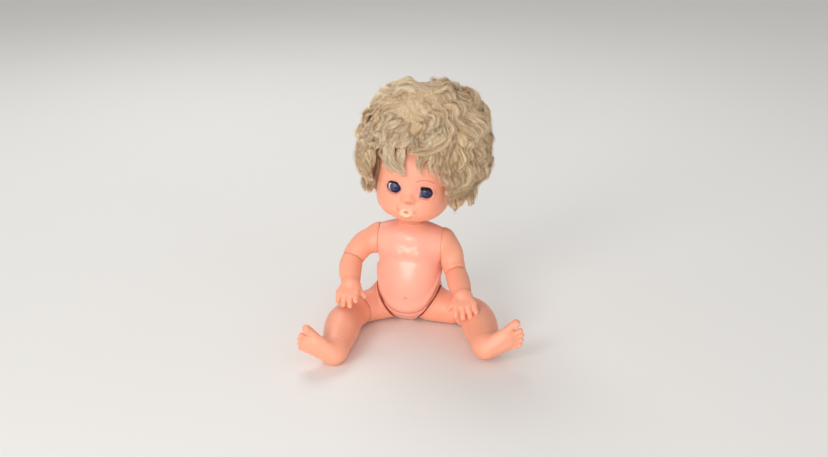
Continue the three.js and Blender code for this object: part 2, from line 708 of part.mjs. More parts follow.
function eyeball(side) {
  const ball = ellipsoid(ORIGIN, point(1, 1, 1).multiplyScalar(EYEBALL_RADIUS), 16, 10);
  const axleHole = bar(AXLE_RADIUS + 0.3, -20, 20, point(1, 0, 0), ORIGIN, 12);
  const irisSeat = bar(IRIS_RADIUS + 0.3, IRIS_SEAT, 20, gazeOf(side), ORIGIN, 16);
  const lashSlot = lashes(LASH_THICKNESS + 0.6, EYEBALL_RADIUS - 1.8, LASH_SPREAD + 4);
  const socket = bar(1.7 + 0.3, EYEBALL_RADIUS - 3, 20, weightDirection(), ORIGIN, 12);
  return join([ball]).subtract(join([axleHole, irisSeat, lashSlot, socket]));
}

const weightDirection = () => point(0, Math.cos(degrees(WEIGHT_ANGLE)), -Math.sin(degrees(WEIGHT_ANGLE)));

function eyeWeight() {
  const stem = bar(1.7, EYEBALL_RADIUS - 2.6, EYEBALL_RADIUS + WEIGHT_ARM, weightDirection(), ORIGIN, 12);
  const middle = weightDirection().multiplyScalar(EYEBALL_RADIUS + WEIGHT_ARM - WEIGHT_RADIUS);
  return stem.add(bar(WEIGHT_RADIUS, -WEIGHT_LENGTH / 2, WEIGHT_LENGTH / 2, point(1, 0, 0), middle, 16));
}

function irisLens(side) {
  const dome = ellipsoid(ORIGIN, point(1, 1, 1).multiplyScalar(EYEBALL_RADIUS - 0.05), 16, 10);
  // Its top is cut off below the lashes.
  const up = point(0, Math.sin(degrees(LASH_ANGLE)), Math.cos(degrees(LASH_ANGLE)));
  const lid = beyond(up, up.clone().multiplyScalar(-(LASH_THICKNESS / 2 + 0.6)), 40);
  return dome.intersect(bar(IRIS_RADIUS, IRIS_SEAT + 0.3, 20, gazeOf(side), ORIGIN, 16)).subtract(lid);
}

function eye(word, side) {
  const group = new THREE.Group();
  group.applyMatrix4(eyePlace(side));
  const axle = bar(AXLE_RADIUS, -HOUSING_RADIUS, HOUSING_RADIUS, point(1, 0, 0), ORIGIN, 12);
  group.add(
    mesh(`${word}_eye_housing`, eyeHousing(side), eyeWhite),
    mesh(`${word}_eyeball`, eyeball(side), eyeWhite),
    mesh(`${word}_iris`, irisLens(side), irisBlue),
    mesh(`${word}_eyelashes`, lashes(LASH_THICKNESS, EYEBALL_RADIUS - 1.5, LASH_SPREAD), lashFibre),
    mesh(`${word}_eye_axle`, axle, steel),
    mesh(`${word}_eye_weight`, eyeWeight(), steel),
  );
  return group;
}

// Hair

// Height from the head's middle, half width, front depth and back depth.
const HAIR_OUTLINE = [
  [-0.5, 0.38, 0.48, 0.5],
  [-0.41, 0.58, 0.6, 0.66],
  [-0.3, 0.73, 0.72, 0.8],
  [-0.15, 0.85, 0.84, 0.9],
  [0, 0.93, 0.94, 0.96],
  [0.2, 1, 1, 1],
  [0.4, 0.99, 0.98, 0.99],
  [0.58, 0.93, 0.9, 0.92],
  [0.74, 0.82, 0.76, 0.79],
  [0.87, 0.63, 0.57, 0.6],
  [0.96, 0.38, 0.34, 0.37],
  [1, 0.1, 0.1, 0.1],
].map(([height, width, front, back]) => [
  height * HAIR_TOP,
  width * HAIR_HALF_WIDTH,
  front * HAIR_FRONT_DEPTH,
  back * HAIR_BACK_DEPTH,
]);

// The outer surface of the hair, which swells and dips where the big curls lie.
function curls(x, y, z) {
  const wide = Math.sin(0.115 * x + 0.05 * y + 0.6) * Math.sin(0.13 * z + 0.05 * x + 1);
  const deep = Math.sin(0.15 * y - 0.06 * z + 0.09 * x) * Math.cos(0.11 * z - 0.07 * y);
  const small = Math.sin(0.24 * x + 0.5) * Math.sin(0.22 * y + 0.19 * z);
  return (wide + deep + 0.6 * small) / 1.8;
}

function hairOuter() {
  const shape = levelBody({ outline: HAIR_OUTLINE, rows: 24, sides: 40, boxiness: 2.1 });
  const places = shape.attributes.position;
  for (let i = 0; i < places.count; i++) {
    const at = new THREE.Vector3().fromBufferAttribute(places, i);
    const sweep = HAIR_SWEEP * Math.max(at.z / HAIR_TOP, 0) ** 2;
    const lift = HAIR_LUMP * curls(at.x + sweep + HAIR_SIDE, at.y, at.z);
    at.addScaledVector(at.clone().normalize(), lift);
    places.setXYZ(i, at.x + sweep, at.y, at.z);
  }
  return solid(shape.translate(HAIR_SIDE, 0, 0));
}

// The edge that the hair keeps over the face, from the doll's right to its left: a fringe of two
// clumps with the forehead bare between them.
const HAIRLINE = [
  [-44, TEMPLE_BOTTOM - 12],
  [-42, 8],
  [-40, 24],
  [-35.5, 26],
  [-30.5, 16],
  [-24, FRINGE_BOTTOM - 2],
  [-17, FRINGE_BOTTOM - 3],
  [-9, FRINGE_BOTTOM - 4],
  [-5, FRINGE_BOTTOM + 3],
  [-1, 31],
  [3, 31],
  [6, 17],
  [12, FRINGE_BOTTOM],
  [21, FRINGE_BOTTOM],
  [28, FRINGE_BOTTOM - 4],
  [34, TEMPLE_BOTTOM + 6],
  [40, TEMPLE_BOTTOM - 8],
  [43, TEMPLE_BOTTOM - 16],
];

function hairMass() {
  // Below the fringe the hair stays behind the face.
  const wide = 120;
  const face = new THREE.Shape();
  face.moveTo(HAIRLINE.at(-1)[0], -wide);
  face.lineTo(...HAIRLINE.at(-1));
  for (const [x, z] of HAIRLINE.toReversed().slice(1)) face.lineTo(x, z);
  face.lineTo(-wide, HAIRLINE[0][1]);
  face.lineTo(-wide, -wide);
  const window = new THREE.ExtrudeGeometry(face, { depth: wide, bevelEnabled: false });
  const opening = solid(window.rotateX(Math.PI / 2).translate(0, TEMPLE_DEPTH, 0));
  const low = (bottom, x, y, ahead) =>
    beyond(UP.clone().negate(), point(0, 0, bottom))
      .intersect(beyond(point(0, ahead, 0), point(0, y, 0)))
      .intersect(beyond(point(x, 0, 0), point(-x, 0, 0)));
  const trims = [
    low(SIDE_BOTTOM.left, 1, 16, -1),
    low(SIDE_BOTTOM.right, -1, 16, -1),
    low(NAPE_BOTTOM, 1, 15, 1),
    low(NAPE_BOTTOM, -1, 15, 1),
  ];
  return hairOuter().subtract(join([headForm(SCALP_GAP), ...ears(SCALP_GAP), opening, ...trims]));
}

// The hair falls into locks, parted by narrow gaps: a crown, a fringe, two sides, the back and the nape.
function hairLocks() {
  const mass = hairMass();
  const gap = HAIR_PARTING / 2;
  const crownBottom = 40;
  const above = (z) => beyond(UP, point(0, 0, z));
  const below = (z) => beyond(UP.clone().negate(), point(0, 0, z));
  const ahead = (y) => beyond(point(0, -1, 0), point(0, y, 0));
  const behind = (y) => beyond(point(0, 1, 0), point(0, y, 0));
  const sideways = (side, x) => beyond(point(side, 0, 0), point(side * x, 0, 0));
  const [fringeBack, backFront, napeTop] = [-18, 22, -2];
  const skirt = mass.intersect(below(crownBottom - gap));
  const rear = skirt.intersect(behind(backFront + gap));
  const middle = skirt.intersect(ahead(backFront - gap)).intersect(behind(fringeBack + gap));
  return {
    hair_crown: mass.intersect(above(crownBottom + gap)),
    hair_fringe: skirt.intersect(ahead(fringeBack - gap)),
    hair_left_side: middle.intersect(sideways(1, 0)),
    hair_right_side: middle.intersect(sideways(-1, 0)),
    hair_back: rear.intersect(above(napeTop + gap)),
    hair_nape: rear.intersect(below(napeTop - gap)),
  };
}

// Assembly

const head = new THREE.Group();
head.applyMatrix4(headPlace);
head.add(mesh("head", headShell(), skin), eye("left", 1), eye("right", -1));
for (const [name, lock] of Object.entries(hairLocks())) head.add(mesh(name, lock, hairFibre));

const upright = new THREE.Group();
upright.add(...torsoHalves(), head);
upright.applyMatrix4(leaning);

const seated = new THREE.Group();
seated.add(upright);
seated.add(arm("left_arm", ARMS.left), arm("right_arm", ARMS.right));
seated.add(leg("left_leg", LEGS.left), leg("right_leg", LEGS.right));

// The part's origin is on the table, under the middle of the whole figure.
const figure = new THREE.Group();
figure.add(seated);
figure.updateMatrixWorld(true);
const extent = new THREE.Box3().setFromObject(figure, true);
const middle = extent.getCenter(point(0, 0, 0));
seated.position.set(-middle.x, -middle.y, -extent.min.z);

export default figure;
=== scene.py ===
"""A sitting vinyl baby doll with curly rooted hair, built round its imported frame.

The scene is in metres. Shapes are sculpted in millimetres, and MM turns them into metres.
"""

import json
import math

import bpy
import numpy as np
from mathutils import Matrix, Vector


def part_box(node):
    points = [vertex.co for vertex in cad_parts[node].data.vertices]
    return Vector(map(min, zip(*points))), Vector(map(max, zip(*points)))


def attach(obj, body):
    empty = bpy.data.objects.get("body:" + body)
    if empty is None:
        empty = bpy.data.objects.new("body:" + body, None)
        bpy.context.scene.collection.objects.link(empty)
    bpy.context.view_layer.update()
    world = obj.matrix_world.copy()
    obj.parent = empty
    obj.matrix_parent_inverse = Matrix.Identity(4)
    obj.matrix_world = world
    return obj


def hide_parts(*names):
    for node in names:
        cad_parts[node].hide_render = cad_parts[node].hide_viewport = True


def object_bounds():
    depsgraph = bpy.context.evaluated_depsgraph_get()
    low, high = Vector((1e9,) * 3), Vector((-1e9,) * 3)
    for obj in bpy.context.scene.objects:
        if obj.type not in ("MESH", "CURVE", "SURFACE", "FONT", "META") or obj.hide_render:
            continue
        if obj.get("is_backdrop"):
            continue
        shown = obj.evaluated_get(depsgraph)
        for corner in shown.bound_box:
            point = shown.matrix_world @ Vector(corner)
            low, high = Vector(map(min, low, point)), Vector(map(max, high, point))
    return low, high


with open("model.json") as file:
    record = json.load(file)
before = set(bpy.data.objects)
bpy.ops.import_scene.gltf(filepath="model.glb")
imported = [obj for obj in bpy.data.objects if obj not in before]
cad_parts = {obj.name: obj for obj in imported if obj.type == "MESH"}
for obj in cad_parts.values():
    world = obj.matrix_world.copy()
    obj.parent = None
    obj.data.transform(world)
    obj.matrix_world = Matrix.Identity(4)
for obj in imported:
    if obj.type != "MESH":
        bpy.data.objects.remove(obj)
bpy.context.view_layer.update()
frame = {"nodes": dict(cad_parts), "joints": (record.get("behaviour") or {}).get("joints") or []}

import openvdb
from mathutils import Matrix, Vector

MM = 0.001
COARSE = 1.0  # times the voxels' size
VOXEL = {"torso": 0.52, "arm": 0.5, "leg": 0.52, "head": 0.56, "hair": 1.1}  # mm
TINY = 1e-9
SIDES = (1, -1)
WORD = {1: "left", -1: "right"}


# ---- places

def place(origin, x=0, y=0, z=0):
    """Turns in degrees about X, then Y, then Z, then a move, in mm."""
    m = Matrix.Translation(Vector(origin))
    for axis, angle in (("Z", z), ("Y", y), ("X", x)):
        m = m @ Matrix.Rotation(math.radians(angle), 4, axis)
    return np.array(m)


def carried(matrix, points):
    """Rows of points, moved by the matrix."""
    return np.asarray(points, float) @ matrix[:3, :3].T + matrix[:3, 3]


# The torso's lean and turn in degrees, its shift, and the height of the neck's rim on it.
LEAN, TORSO_TURN, SEAT_SHIFT, RIM_BOTTOM = 2.5, -8, -1.5, 113.5
LEANING = place((SEAT_SHIFT, 0, 0), y=LEAN, z=TORSO_TURN)
NECK = next(j for j in frame["joints"] if j["name"] == "neck")
SHIFT = np.array(NECK["pos_m"]) / MM - carried(LEANING, [0, 0, RIM_BOTTOM])
SHIFT[2] = 0
GROUND = place(SHIFT)
TORSO = GROUND @ LEANING
HEAD_IN_TORSO = place((3, -2, 168), y=5.2, z=-3)
HEAD = TORSO @ HEAD_IN_TORSO
EYE_RADIUS, EYE_PLACE, EYE_TURN = 8.0, (15.25, -28.6, -7.5), 10
EYE_IN_HEAD = {
    side: place((side * EYE_PLACE[0], *EYE_PLACE[1:]), z=side * EYE_TURN) for side in SIDES
}


# ---- curves

def part(v):
    """v, kept from 0 to 1."""
    return np.clip(v, 0, 1)


def unit(v):
    """Each row of v with the length 1."""
    return v / (np.linalg.norm(v, axis=-1, keepdims=True) + TINY)


def smooth(pairs, at):
    """A smooth function through the pairs (place, value)."""
    x, y = np.array(pairs, float).T
    slope = np.gradient(y, x)
    at = np.clip(at, x[0], x[-1])
    i = np.clip(np.searchsorted(x, at) - 1, 0, len(x) - 2)
    h = x[i + 1] - x[i]
    t = (at - x[i]) / h
    a, b = (1 + 2 * t) * (1 - t) ** 2, t * t * (3 - 2 * t)
    bend = (t * (1 - t) ** 2) * slope[i] - (t * t * (1 - t)) * slope[i + 1]
    return a * y[i] + b * y[i + 1] + h * bend


def line_through(points, count):
    """A smooth line through the points, evened out."""
    p = np.array(points, float)
    knots = np.concatenate([[0], np.cumsum(np.linalg.norm(np.diff(p, axis=0), axis=1) ** 0.5)])
    fine = np.linspace(0, knots[-1], 400)
    dense = np.stack([smooth(list(zip(knots, p[:, k])), fine) for k in range(p.shape[1])], 1)
    along = np.concatenate([[0], np.cumsum(np.linalg.norm(np.diff(dense, axis=0), axis=1))])
    even = np.linspace(0, along[-1], count)
    return np.stack([np.interp(even, along, dense[:, k]) for k in range(p.shape[1])], 1)


# ---- fields: negative inside, roughly a distance in mm

def union(a, b, k=0.0):
    """a with b, blended where the two fields are within k of each other."""
    if k <= 0:
        return np.minimum(a, b)
    h = np.maximum(k - np.abs(a - b), 0) / k
    return np.minimum(a, b) - h * h * k * 0.25


def cut(a, b, k=0.0):
    """a without b."""
    return -union(-a, b, k)


def meet(a, b, k=0.0):
    """What a and b share."""
    return -union(-a, -b, k)


def egg(p, centre, radii):
    q = [(v - c) for v, c in zip(p, centre)]
    far = np.sqrt(sum((v / r) ** 2 for v, r in zip(q, radii)))
    slope = np.sqrt(sum((v / r**2) ** 2 for v, r in zip(q, radii))) + 1e-6
    return far * (far - 1) / slope


def tube(p, points, radii, share=False):
    """Round tube of varying radius; with share, also how far along it each place is."""
    n = len(points) - 1
    best, along = np.inf, 0
    for i in range(n):
        a, v = points[i], points[i + 1] - points[i]
        t = sum((q - o) * w for q, o, w in zip(p, a, v)) / max(float(v @ v), 1e-9)
        t = part(t)
        d = np.sqrt(sum((q - o - t * w) ** 2 for q, o, w in zip(p, a, v)))
        d = d - (radii[i] + t * (radii[i + 1] - radii[i]))
        if share:
            along = np.where(d < best, (i + t) / n, along)
        best = np.minimum(best, d)
    return (best, along) if share else best


def into(matrix, p):
    """The places p as seen in the frame that the matrix carries."""
    m = np.linalg.inv(matrix)
    return tuple(m[r, 0] * p[0] + m[r, 1] * p[1] + m[r, 2] * p[2] + m[r, 3] for r in range(3))


def plane(p, origin, normal):
    """How far in front of a plane each place is."""
    return sum((q - o) * n for q, o, n in zip(p, origin, normal))


def far2(p, at):
    """The squared distance to a place."""
    return sum((q - o) ** 2 for q, o in zip(p, at))


def rod(p, origin, axis, radius, low, high):
    """A cylinder from low to high along the axis."""
    along = plane(p, origin, axis)
    across = np.sqrt(np.maximum(far2(p, origin) - along**2, 0))
    return np.maximum(across - radius, np.maximum(low - along, along - high))


def egg_on_axis(p, centre, axis, radius, height):
    """How far out of an egg each place is, as a share of it, and its place along the egg's axis."""
    along = plane(p, centre, axis)
    across2 = np.maximum(far2(p, centre) - along**2, 0)
    return np.sqrt(across2 / radius**2 + (along / height) ** 2) - 1, along


def bump(d2, spread):
    """A soft round hill, 1 at its top, over a squared distance."""
    return np.exp(-d2 / (2 * spread * spread))


def level_form(p, outline, sizes, boxiness=2.3):
    """A body of level sections: rows of height and half width, front depth and back depth."""
    x, y, z = p
    rows = np.array(outline, float)
    wide, front, back = (
        smooth(list(zip(rows[:, 0], rows[:, k] * size)), z) for k, size in zip((1, 2, 3), sizes)
    )
    deep = np.where(y < 0, front, back)
    ring = (np.abs(x) / wide) ** boxiness + (np.abs(y) / deep) ** boxiness
    ring = ring ** (1 / boxiness) + 1e-4
    reach = np.sqrt(x * x + y * y + 1e-4)
    side = reach - reach / ring
    return np.maximum(side, np.maximum(rows[0, 0] - z, z - rows[-1, 0]))


# ---- meshes

def even_out(points, faces, rounds):
    """Moves each point towards the middle of its neighbours and back, which rounds off steps."""
    edges = np.concatenate([faces[:, [0, 1]], faces[:, [1, 2]], faces[:, [2, 3]], faces[:, [3, 0]]])
    both = np.concatenate([edges, edges[:, ::-1]])
    count = np.bincount(both[:, 0], minlength=len(points)).astype(float)[:, None]
    for r in range(rounds * 2):
        total = [np.bincount(both[:, 0], points[both[:, 1], k], len(points)) for k in range(3)]
        total = np.stack(total, 1)
        step = total / count - points
        points = points + step * (0.5 if r % 2 == 0 else -0.52)
    return points


def largest_piece(points, faces):
    """The faces that hang together most, and the points they use."""
    label = np.arange(len(points))
    while True:
        low = label[faces].min(1)
        new = label.copy()
        np.minimum.at(new, faces.ravel(), np.repeat(low, 4))
        new = new[new]
        if (new == label).all():
            break
        label = new
    ids, sizes = np.unique(label[faces[:, 0]], return_counts=True)
    if len(ids) == 1:
        return points, faces
    faces = faces[label[faces[:, 0]] == ids[sizes.argmax()]]
    used, back = np.unique(faces, return_inverse=True)
    return points[used], back.reshape(faces.shape)


def mesh_object(name, points, corners, sizes, material):
    """An object from points, the faces' corners in one row, and each face's number of corners."""
    mesh = bpy.data.meshes.new(name)
    mesh.vertices.add(len(points))
    mesh.vertices.foreach_set("co", np.asarray(points, np.float32).ravel())
    mesh.loops.add(len(corners))
    mesh.loops.foreach_set("vertex_index", np.asarray(corners, np.int32))
    mesh.polygons.add(len(sizes))
    starts = np.concatenate([[0], np.cumsum(sizes)[:-1]])
    mesh.polygons.foreach_set("loop_start", starts.astype(np.int32))
    mesh.update(calc_edges=True)
    mesh.polygons.foreach_set("use_smooth", np.ones(len(sizes), bool))
    mesh.materials.append(material)
    made = bpy.data.objects.new(name, mesh)
    bpy.context.scene.collection.objects.link(made)
    return made


def make_object(name, points, faces, material):
    """An object from points and faces, which are rows of an array or lists of corners."""
    made = mesh_object(name, points, np.concatenate(faces), [len(f) for f in faces], material)
    made.data.validate()
    return made


def attribute(made, name, values):
    """A number or a vector for each point, for the materials to read."""
    values = np.asarray(values, np.float32)
    kind = "FLOAT_VECTOR" if values.ndim == 2 else "FLOAT"
    held = made.data.attributes.new(name, kind, "POINT")
    held.data.foreach_set("vector" if values.ndim == 2 else "value", values.ravel())


def sculpt(name, low, high, step, field, matrix, material, rounds=3):
    """The surface where the field is zero, as a closed mesh in the part's frame."""
    step *= COARSE
    low, high = np.array(low, float), np.array(high, float)
    axes = [np.arange(lo, hi + step, step, dtype=np.float32) for lo, hi in zip(low, high)]
    p = (axes[0][:, None, None], axes[1][None, :, None], axes[2][None, None, :])
    values = np.broadcast_to(field(p), [len(a) for a in axes]).astype(np.float32)
    deepest = 4 * step
    values = np.clip(values, -deepest, deepest)
    grid = openvdb.FloatGrid(background=float(deepest))
    grid.copyFromArray(values)
    points, faces = grid.convertToQuads(0.0)
    points, faces = largest_piece(low + points.astype(float) * step, faces.astype(np.int64))
    points = even_out(points, faces, rounds)
    a, b, c, d = (points[faces[:, k]] for k in range(4))
    if (a * (np.cross(b, c) + np.cross(c, d))).sum() < 0:  # inside out
        faces = faces[:, ::-1]
    return make_object(name, carried(matrix, points) * MM, faces, material), points


# ---- materials

class Surface:
    """A material, with short names for making its nodes."""

    def __init__(self, name, colour, roughness, **sockets):
        self.made = bpy.data.materials.new(name)
        self.made.use_nodes = True
        self.tree = self.made.node_tree
        self.shader = self.tree.nodes["Principled BSDF"]
        self.give(Base_Color=(*colour, 1), Roughness=roughness, **sockets)

    def give(self, **sockets):
        """Sets the shader's inputs, to values or to the outputs of nodes."""
        for key, value in sockets.items():
            self.put(self.shader.inputs[key.replace("_", " ")], value)

    def new(self, kind, **values):
        node = self.tree.nodes.new("ShaderNode" + kind)
        for key, value in values.items():
            setattr(node, key, value)
        return node

    def link(self, a, b):
        self.tree.links.new(a, b)

    def put(self, socket, value):
        if isinstance(value, bpy.types.NodeSocket):
            self.link(value, socket)
        else:
            socket.default_value = value

    def math(self, operation, a, b=0.0, c=0.0, clamp=False):
        node = self.new("Math", operation=operation, use_clamp=clamp)
        for socket, value in zip(node.inputs, (a, b, c)):
            self.put(socket, value)
        return node.outputs[0]

    def mix(self, factor, a, b):
        node = self.new("Mix", data_type="RGBA")
        self.put(node.inputs[0], factor)
        for socket, value in ((node.inputs[6], a), (node.inputs[7], b)):
            self.put(socket, (*value, 1) if isinstance(value, tuple) else value)
        return node.outputs[2]

    def read(self, name):
        return self.new("Attribute", attribute_name=name)

    def noise(self, scale, detail=3.0, rough=0.5, vector=None):
        node = self.new("TexNoise")
        node.inputs["Scale"].default_value = scale
        node.inputs["Detail"].default_value = detail
        node.inputs["Roughness"].default_value = rough
        if vector is None:
            vector = self.new("TexCoord").outputs["Object"]
        self.link(vector, node.inputs["Vector"])
        return node.outputs["Fac"]

    def ramp(self, value, stops):
        node = self.new("ValToRGB")
        elements = node.color_ramp.elements
        while len(elements) < len(stops):
            elements.new(0.5)
        for element, (at, colour) in zip(elements, stops):
            element.position = at
            element.color = (*(colour if isinstance(colour, tuple) else [colour] * 3), 1)
        self.link(value, node.inputs[0])
        return node.outputs[0]

    def bump(self, height, strength, distance):
        node = self.new("Bump")
        node.inputs["Strength"].default_value = strength
        node.inputs["Distance"].default_value = distance
        self.link(height, node.inputs["Height"])
        self.give(Normal=node.outputs[0])


def vinyl(name, colour, shade, roughness, pores, paint=None):
    """Moulded vinyl with painted shade in its folds, warmer and darker there, a little uneven, and
    perhaps painted.
    """
    n = Surface(name, colour, roughness)
    blotch = n.noise(45, 3, 0.55)
    fold = n.read("fold").outputs["Fac"]
    pale = tuple(min(1, c * 1.06) for c in colour)
    base = n.mix(n.ramp(blotch, [(0.3, 0.0), (0.8, 1.0)]), colour, pale)
    # Painted shade: the colour turns towards the shade colour where the fold attribute marks a
    # crease.
    base = n.mix(n.math("MULTIPLY", fold, 0.85, clamp=True), base, shade)
    n.give(
        Base_Color=paint(n, base) if paint else base,
        Roughness=n.math("MULTIPLY_ADD", n.noise(160, 4, 0.6), 0.1, roughness - 0.05),
        Subsurface_Weight=0.22, Subsurface_Radius=(1.0, 0.35, 0.2), Subsurface_Scale=0.004,
    )
    n.bump(n.noise(pores, 4, 0.6), 0.12, 0.0004)
    return n.made


# Each vinyl's colour, and the colour of the painted shade in its folds.
SKIN_COLOUR, SKIN_SHADE = (0.90, 0.385, 0.25), (0.60, 0.16, 0.085)
BODY_COLOUR, BODY_SHADE = (0.93, 0.43, 0.32), (0.60, 0.15, 0.10)
skin = vinyl("skin_vinyl", SKIN_COLOUR, SKIN_SHADE, 0.46, 900)
body = vinyl("body_plastic", BODY_COLOUR, BODY_SHADE, 0.32, 700)


# ---- torso

TORSO_OUTLINE = [
    (-0.012, 0.34, 0.2, 0.5), (0.02, 0.52, 0.36, 0.7), (0.09, 0.74, 0.7, 0.9),
    (0.18, 0.89, 0.89, 1), (0.3, 0.98, 0.98, 0.99), (0.42, 1, 1, 0.84), (0.52, 0.99, 0.96, 0.71),
    (0.62, 0.96, 0.88, 0.68), (0.7, 0.94, 0.81, 0.72), (0.8, 0.93, 0.76, 0.75),
    (0.89, 0.88, 0.66, 0.68), (0.95, 0.7, 0.54, 0.56), (1, 0.36, 0.38, 0.42),
]
TORSO_HEIGHT = 112
TORSO_ROWS = [(h * TORSO_HEIGHT, w, f, b) for h, w, f, b in TORSO_OUTLINE]
TORSO_SIZES = (34.5, 31, 28)
SHOULDER_RADIUS, HIP_RADIUS, LIMB_GAP = 16.5, 17.5, 0.06
# How far the middle of a stub's egg lies behind the joint's face, and the egg's half length.
STUB_CENTRE, STUB_HEIGHT = 10, 25
NAVEL = (0.4, 36.5)
TILT = math.radians(32)
# The middle and the axis of each joint's flat face, in the torso.
SHOULDERS = {s: ((s * 33.5, 0, 91), (s, 0, 0)) for s in SIDES}
HIPS = {s: ((s * 25, 0, 25), (s * math.cos(TILT), 0, -math.sin(TILT))) for s in SIDES}


def stub(p, face, axis, radius):
    """The rounded end of the torso behind a joint's flat face."""
    centre = [o - STUB_CENTRE * a for o, a in zip(face, axis)]
    widest = radius / math.sqrt(1 - (STUB_CENTRE / STUB_HEIGHT) ** 2)
    return egg_on_axis(p, centre, axis, widest, STUB_HEIGHT)[0] * widest


def belly_fold(x):
    """The height of the fold under the belly."""
    return 17 + 0.012 * x * x + 1.5e-5 * x**4


def torso_shape(p):
    x, y, z = p
    d = level_form(p, TORSO_ROWS, TORSO_SIZES)
    front, back = part((-y - 4) / 14), part((y - 2) / 12)
    # The chest's two soft mounds, the seat, the spine and the line under the chest.
    for side in SIDES:
        d = d - front * 2.5 * bump((x - 0.5 - side * 11.8) ** 2 + (z - 85.5) ** 2, 6.2)
        d = d - back * 2.2 * bump((x - side * 13) ** 2 + (z - 16) ** 2, 10)
    d = d + back * 1.6 * bump(x**2, 2.2) * part((92 - z) / 20) * part((z + 2) / 8)
    d = d + front * 0.6 * bump((z - 76.5 - 0.006 * x * x) ** 2, 3) * bump(x**2, 16)
    # The top of the shoulders, the stubs that the limbs turn on, and the neck post with its rim.
    d = union(d, np.maximum(egg(p, (0, 0, 99.5), (30, 23, 15.5)), z - 112.8), 5)
    for side in SIDES:
        d = union(d, stub(p, *SHOULDERS[side], SHOULDER_RADIUS), 7)
        d = union(d, stub(p, *HIPS[side], HIP_RADIUS), 5)
    d = union(d, rod(p, (0, 0, 0), (0, 0, 1), 10, 100, RIM_BOTTOM + 6), 5)
    d = union(d, rod(p, (0, 0, 0), (0, 0, 1), 13, RIM_BOTTOM + 4.05, RIM_BOTTOM + 7.05))
    # The joints' flat faces. Only the hips flare towards theirs.
    for side in SIDES:
        shoulder = (*SHOULDERS[side], SHOULDER_RADIUS + 3, 0)
        hip = (*HIPS[side], HIP_RADIUS + 13, 0.8)
        for face, axis, radius, flare in (shoulder, hip):
            away = rod(p, face, axis, radius, 0, 60)
            d = cut(d - flare * bump(plane(p, face, axis) ** 2, 1.2), away, 0.15)
    # The fold under the belly and the navel.
    fold = belly_fold(x)
    wrap = part((-y + 7) / 9)
    low = part((fold - z) / 1.6) * wrap
    d = d + 2.2 * low + wrap * bump((z - fold) ** 2, 1.1)
    d = d - wrap * 1.5 * bump((z - fold - 6) ** 2, 4) - wrap * 0.9 * bump((z - fold + 4) ** 2, 1.8)
    d = d + front * 1.3 * bump((x - NAVEL[0]) ** 2 + ((z - NAVEL[1]) / 0.7) ** 2, 1.1)
    d = d - front * 0.35 * bump((x - NAVEL[0]) ** 2 + (z - NAVEL[1] - 2.5) ** 2, 1.6)
    # Flat underneath, where it sits.
    lean = math.radians(LEAN)
    return cut(d, plane(p, (0, 0, 0), (-math.sin(lean), 0, math.cos(lean))), 0.6)


def torso_crease_shade(q):
    """Where the torso gets painted shade: in the fold under the belly and in the navel."""
    x, y, z = q.T
    front = part((-y + 6) / 8)
    fold = front * bump((z - belly_fold(x)) ** 2, 1.2)
    navel = front * bump((x - NAVEL[0]) ** 2 + (z - NAVEL[1]) ** 2, 1.3)
    return part(0.55 * fold + 0.5 * navel)


for word, way, foremost, hindmost in (("front", -1, -34, 1), ("back", 1, -1, 31)):
    def half(p, way=way):
        """The torso on one side of its seam."""
        return meet(torso_shape(p), 0.2 - way * p[1], 0.3)
    lo, hi = (-42, foremost, -3), (42, hindmost, 122)
    made, local = sculpt(f"torso_{word}_shell", lo, hi, VOXEL["torso"], half, TORSO, body, 2)
    # Painted shade in the belly's fold and in the navel.
    attribute(made, "fold", torso_crease_shade(local))
    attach(made, "torso")
    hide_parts(f"torso_{word}")


# ---- limbs

def limb_cap(p, face, axis, radius, height):
    """The dome that a limb starts with on the joint's face, and the face itself."""
    seat = np.array(face) + np.array(axis) * LIMB_GAP
    out, along = egg_on_axis(p, seat, axis, radius, height)
    return out * height, -along


def on_ground(pair):
    """A joint's face and axis, in the frame of the arms and legs."""
    face, axis = pair
    return carried(LEANING, face), LEANING[:3, :3] @ np.array(axis, float)


ARM_RADII = [
    (0, 12.5), (0.2, 12.8), (0.4, 12.2), (0.52, 11.4), (0.6, 11.8), (0.74, 11.9), (0.88, 10.6),
    (1, 8.8),
]
ARM_STEPS, ELBOW, WRIST = 26, 0.53, 0.965  # the creases, as shares of the arm
# Each arm's line from shoulder to wrist, the hand's turn, and how the fingers bend and curl.
ARMS = {
    1: dict(
        line=[(37, -4.5, 91), (44, -7, 81), (47, -12, 68), (51, -26, 58.5), (55.6, -51, 49.8)],
        turn=(31, -2.5, 7), bends=(6, 12, 12, -1), curls=(14, 16, 16, 10),
    ),
    -1: dict(
        line=[(-35, 4.5, 93), (-47, -1, 88), (-58.5, -10, 76), (-61.5, -22, 67.5), (-60, -39, 58)],
        turn=(31, -2.5, -14), bends=(-27, 27, 30, 43), curls=(26, 10, 10, 8),
    ),
}
PALM_LENGTH, PALM_HALF, FINGER = 19, 12.5, 3.0
FINGER_PLACES, FINGER_LENGTHS = (-0.72, -0.22, 0.28, 0.74), (9, 10, 9.5, 8)


def finger_points(root, ahead, curl, length):
    """A finger's line, which bends a little towards the palm."""
    ahead = unit(ahead)
    down = unit(np.cross(np.cross(ahead, (0, 0, -1)), ahead))
    points, angle = [root], 0
    for _ in range(3):
        points.append(points[-1] + length / 3 * (ahead * math.cos(angle) + down * math.sin(angle)))
        angle += math.radians(curl) / 2
    return np.array(points)


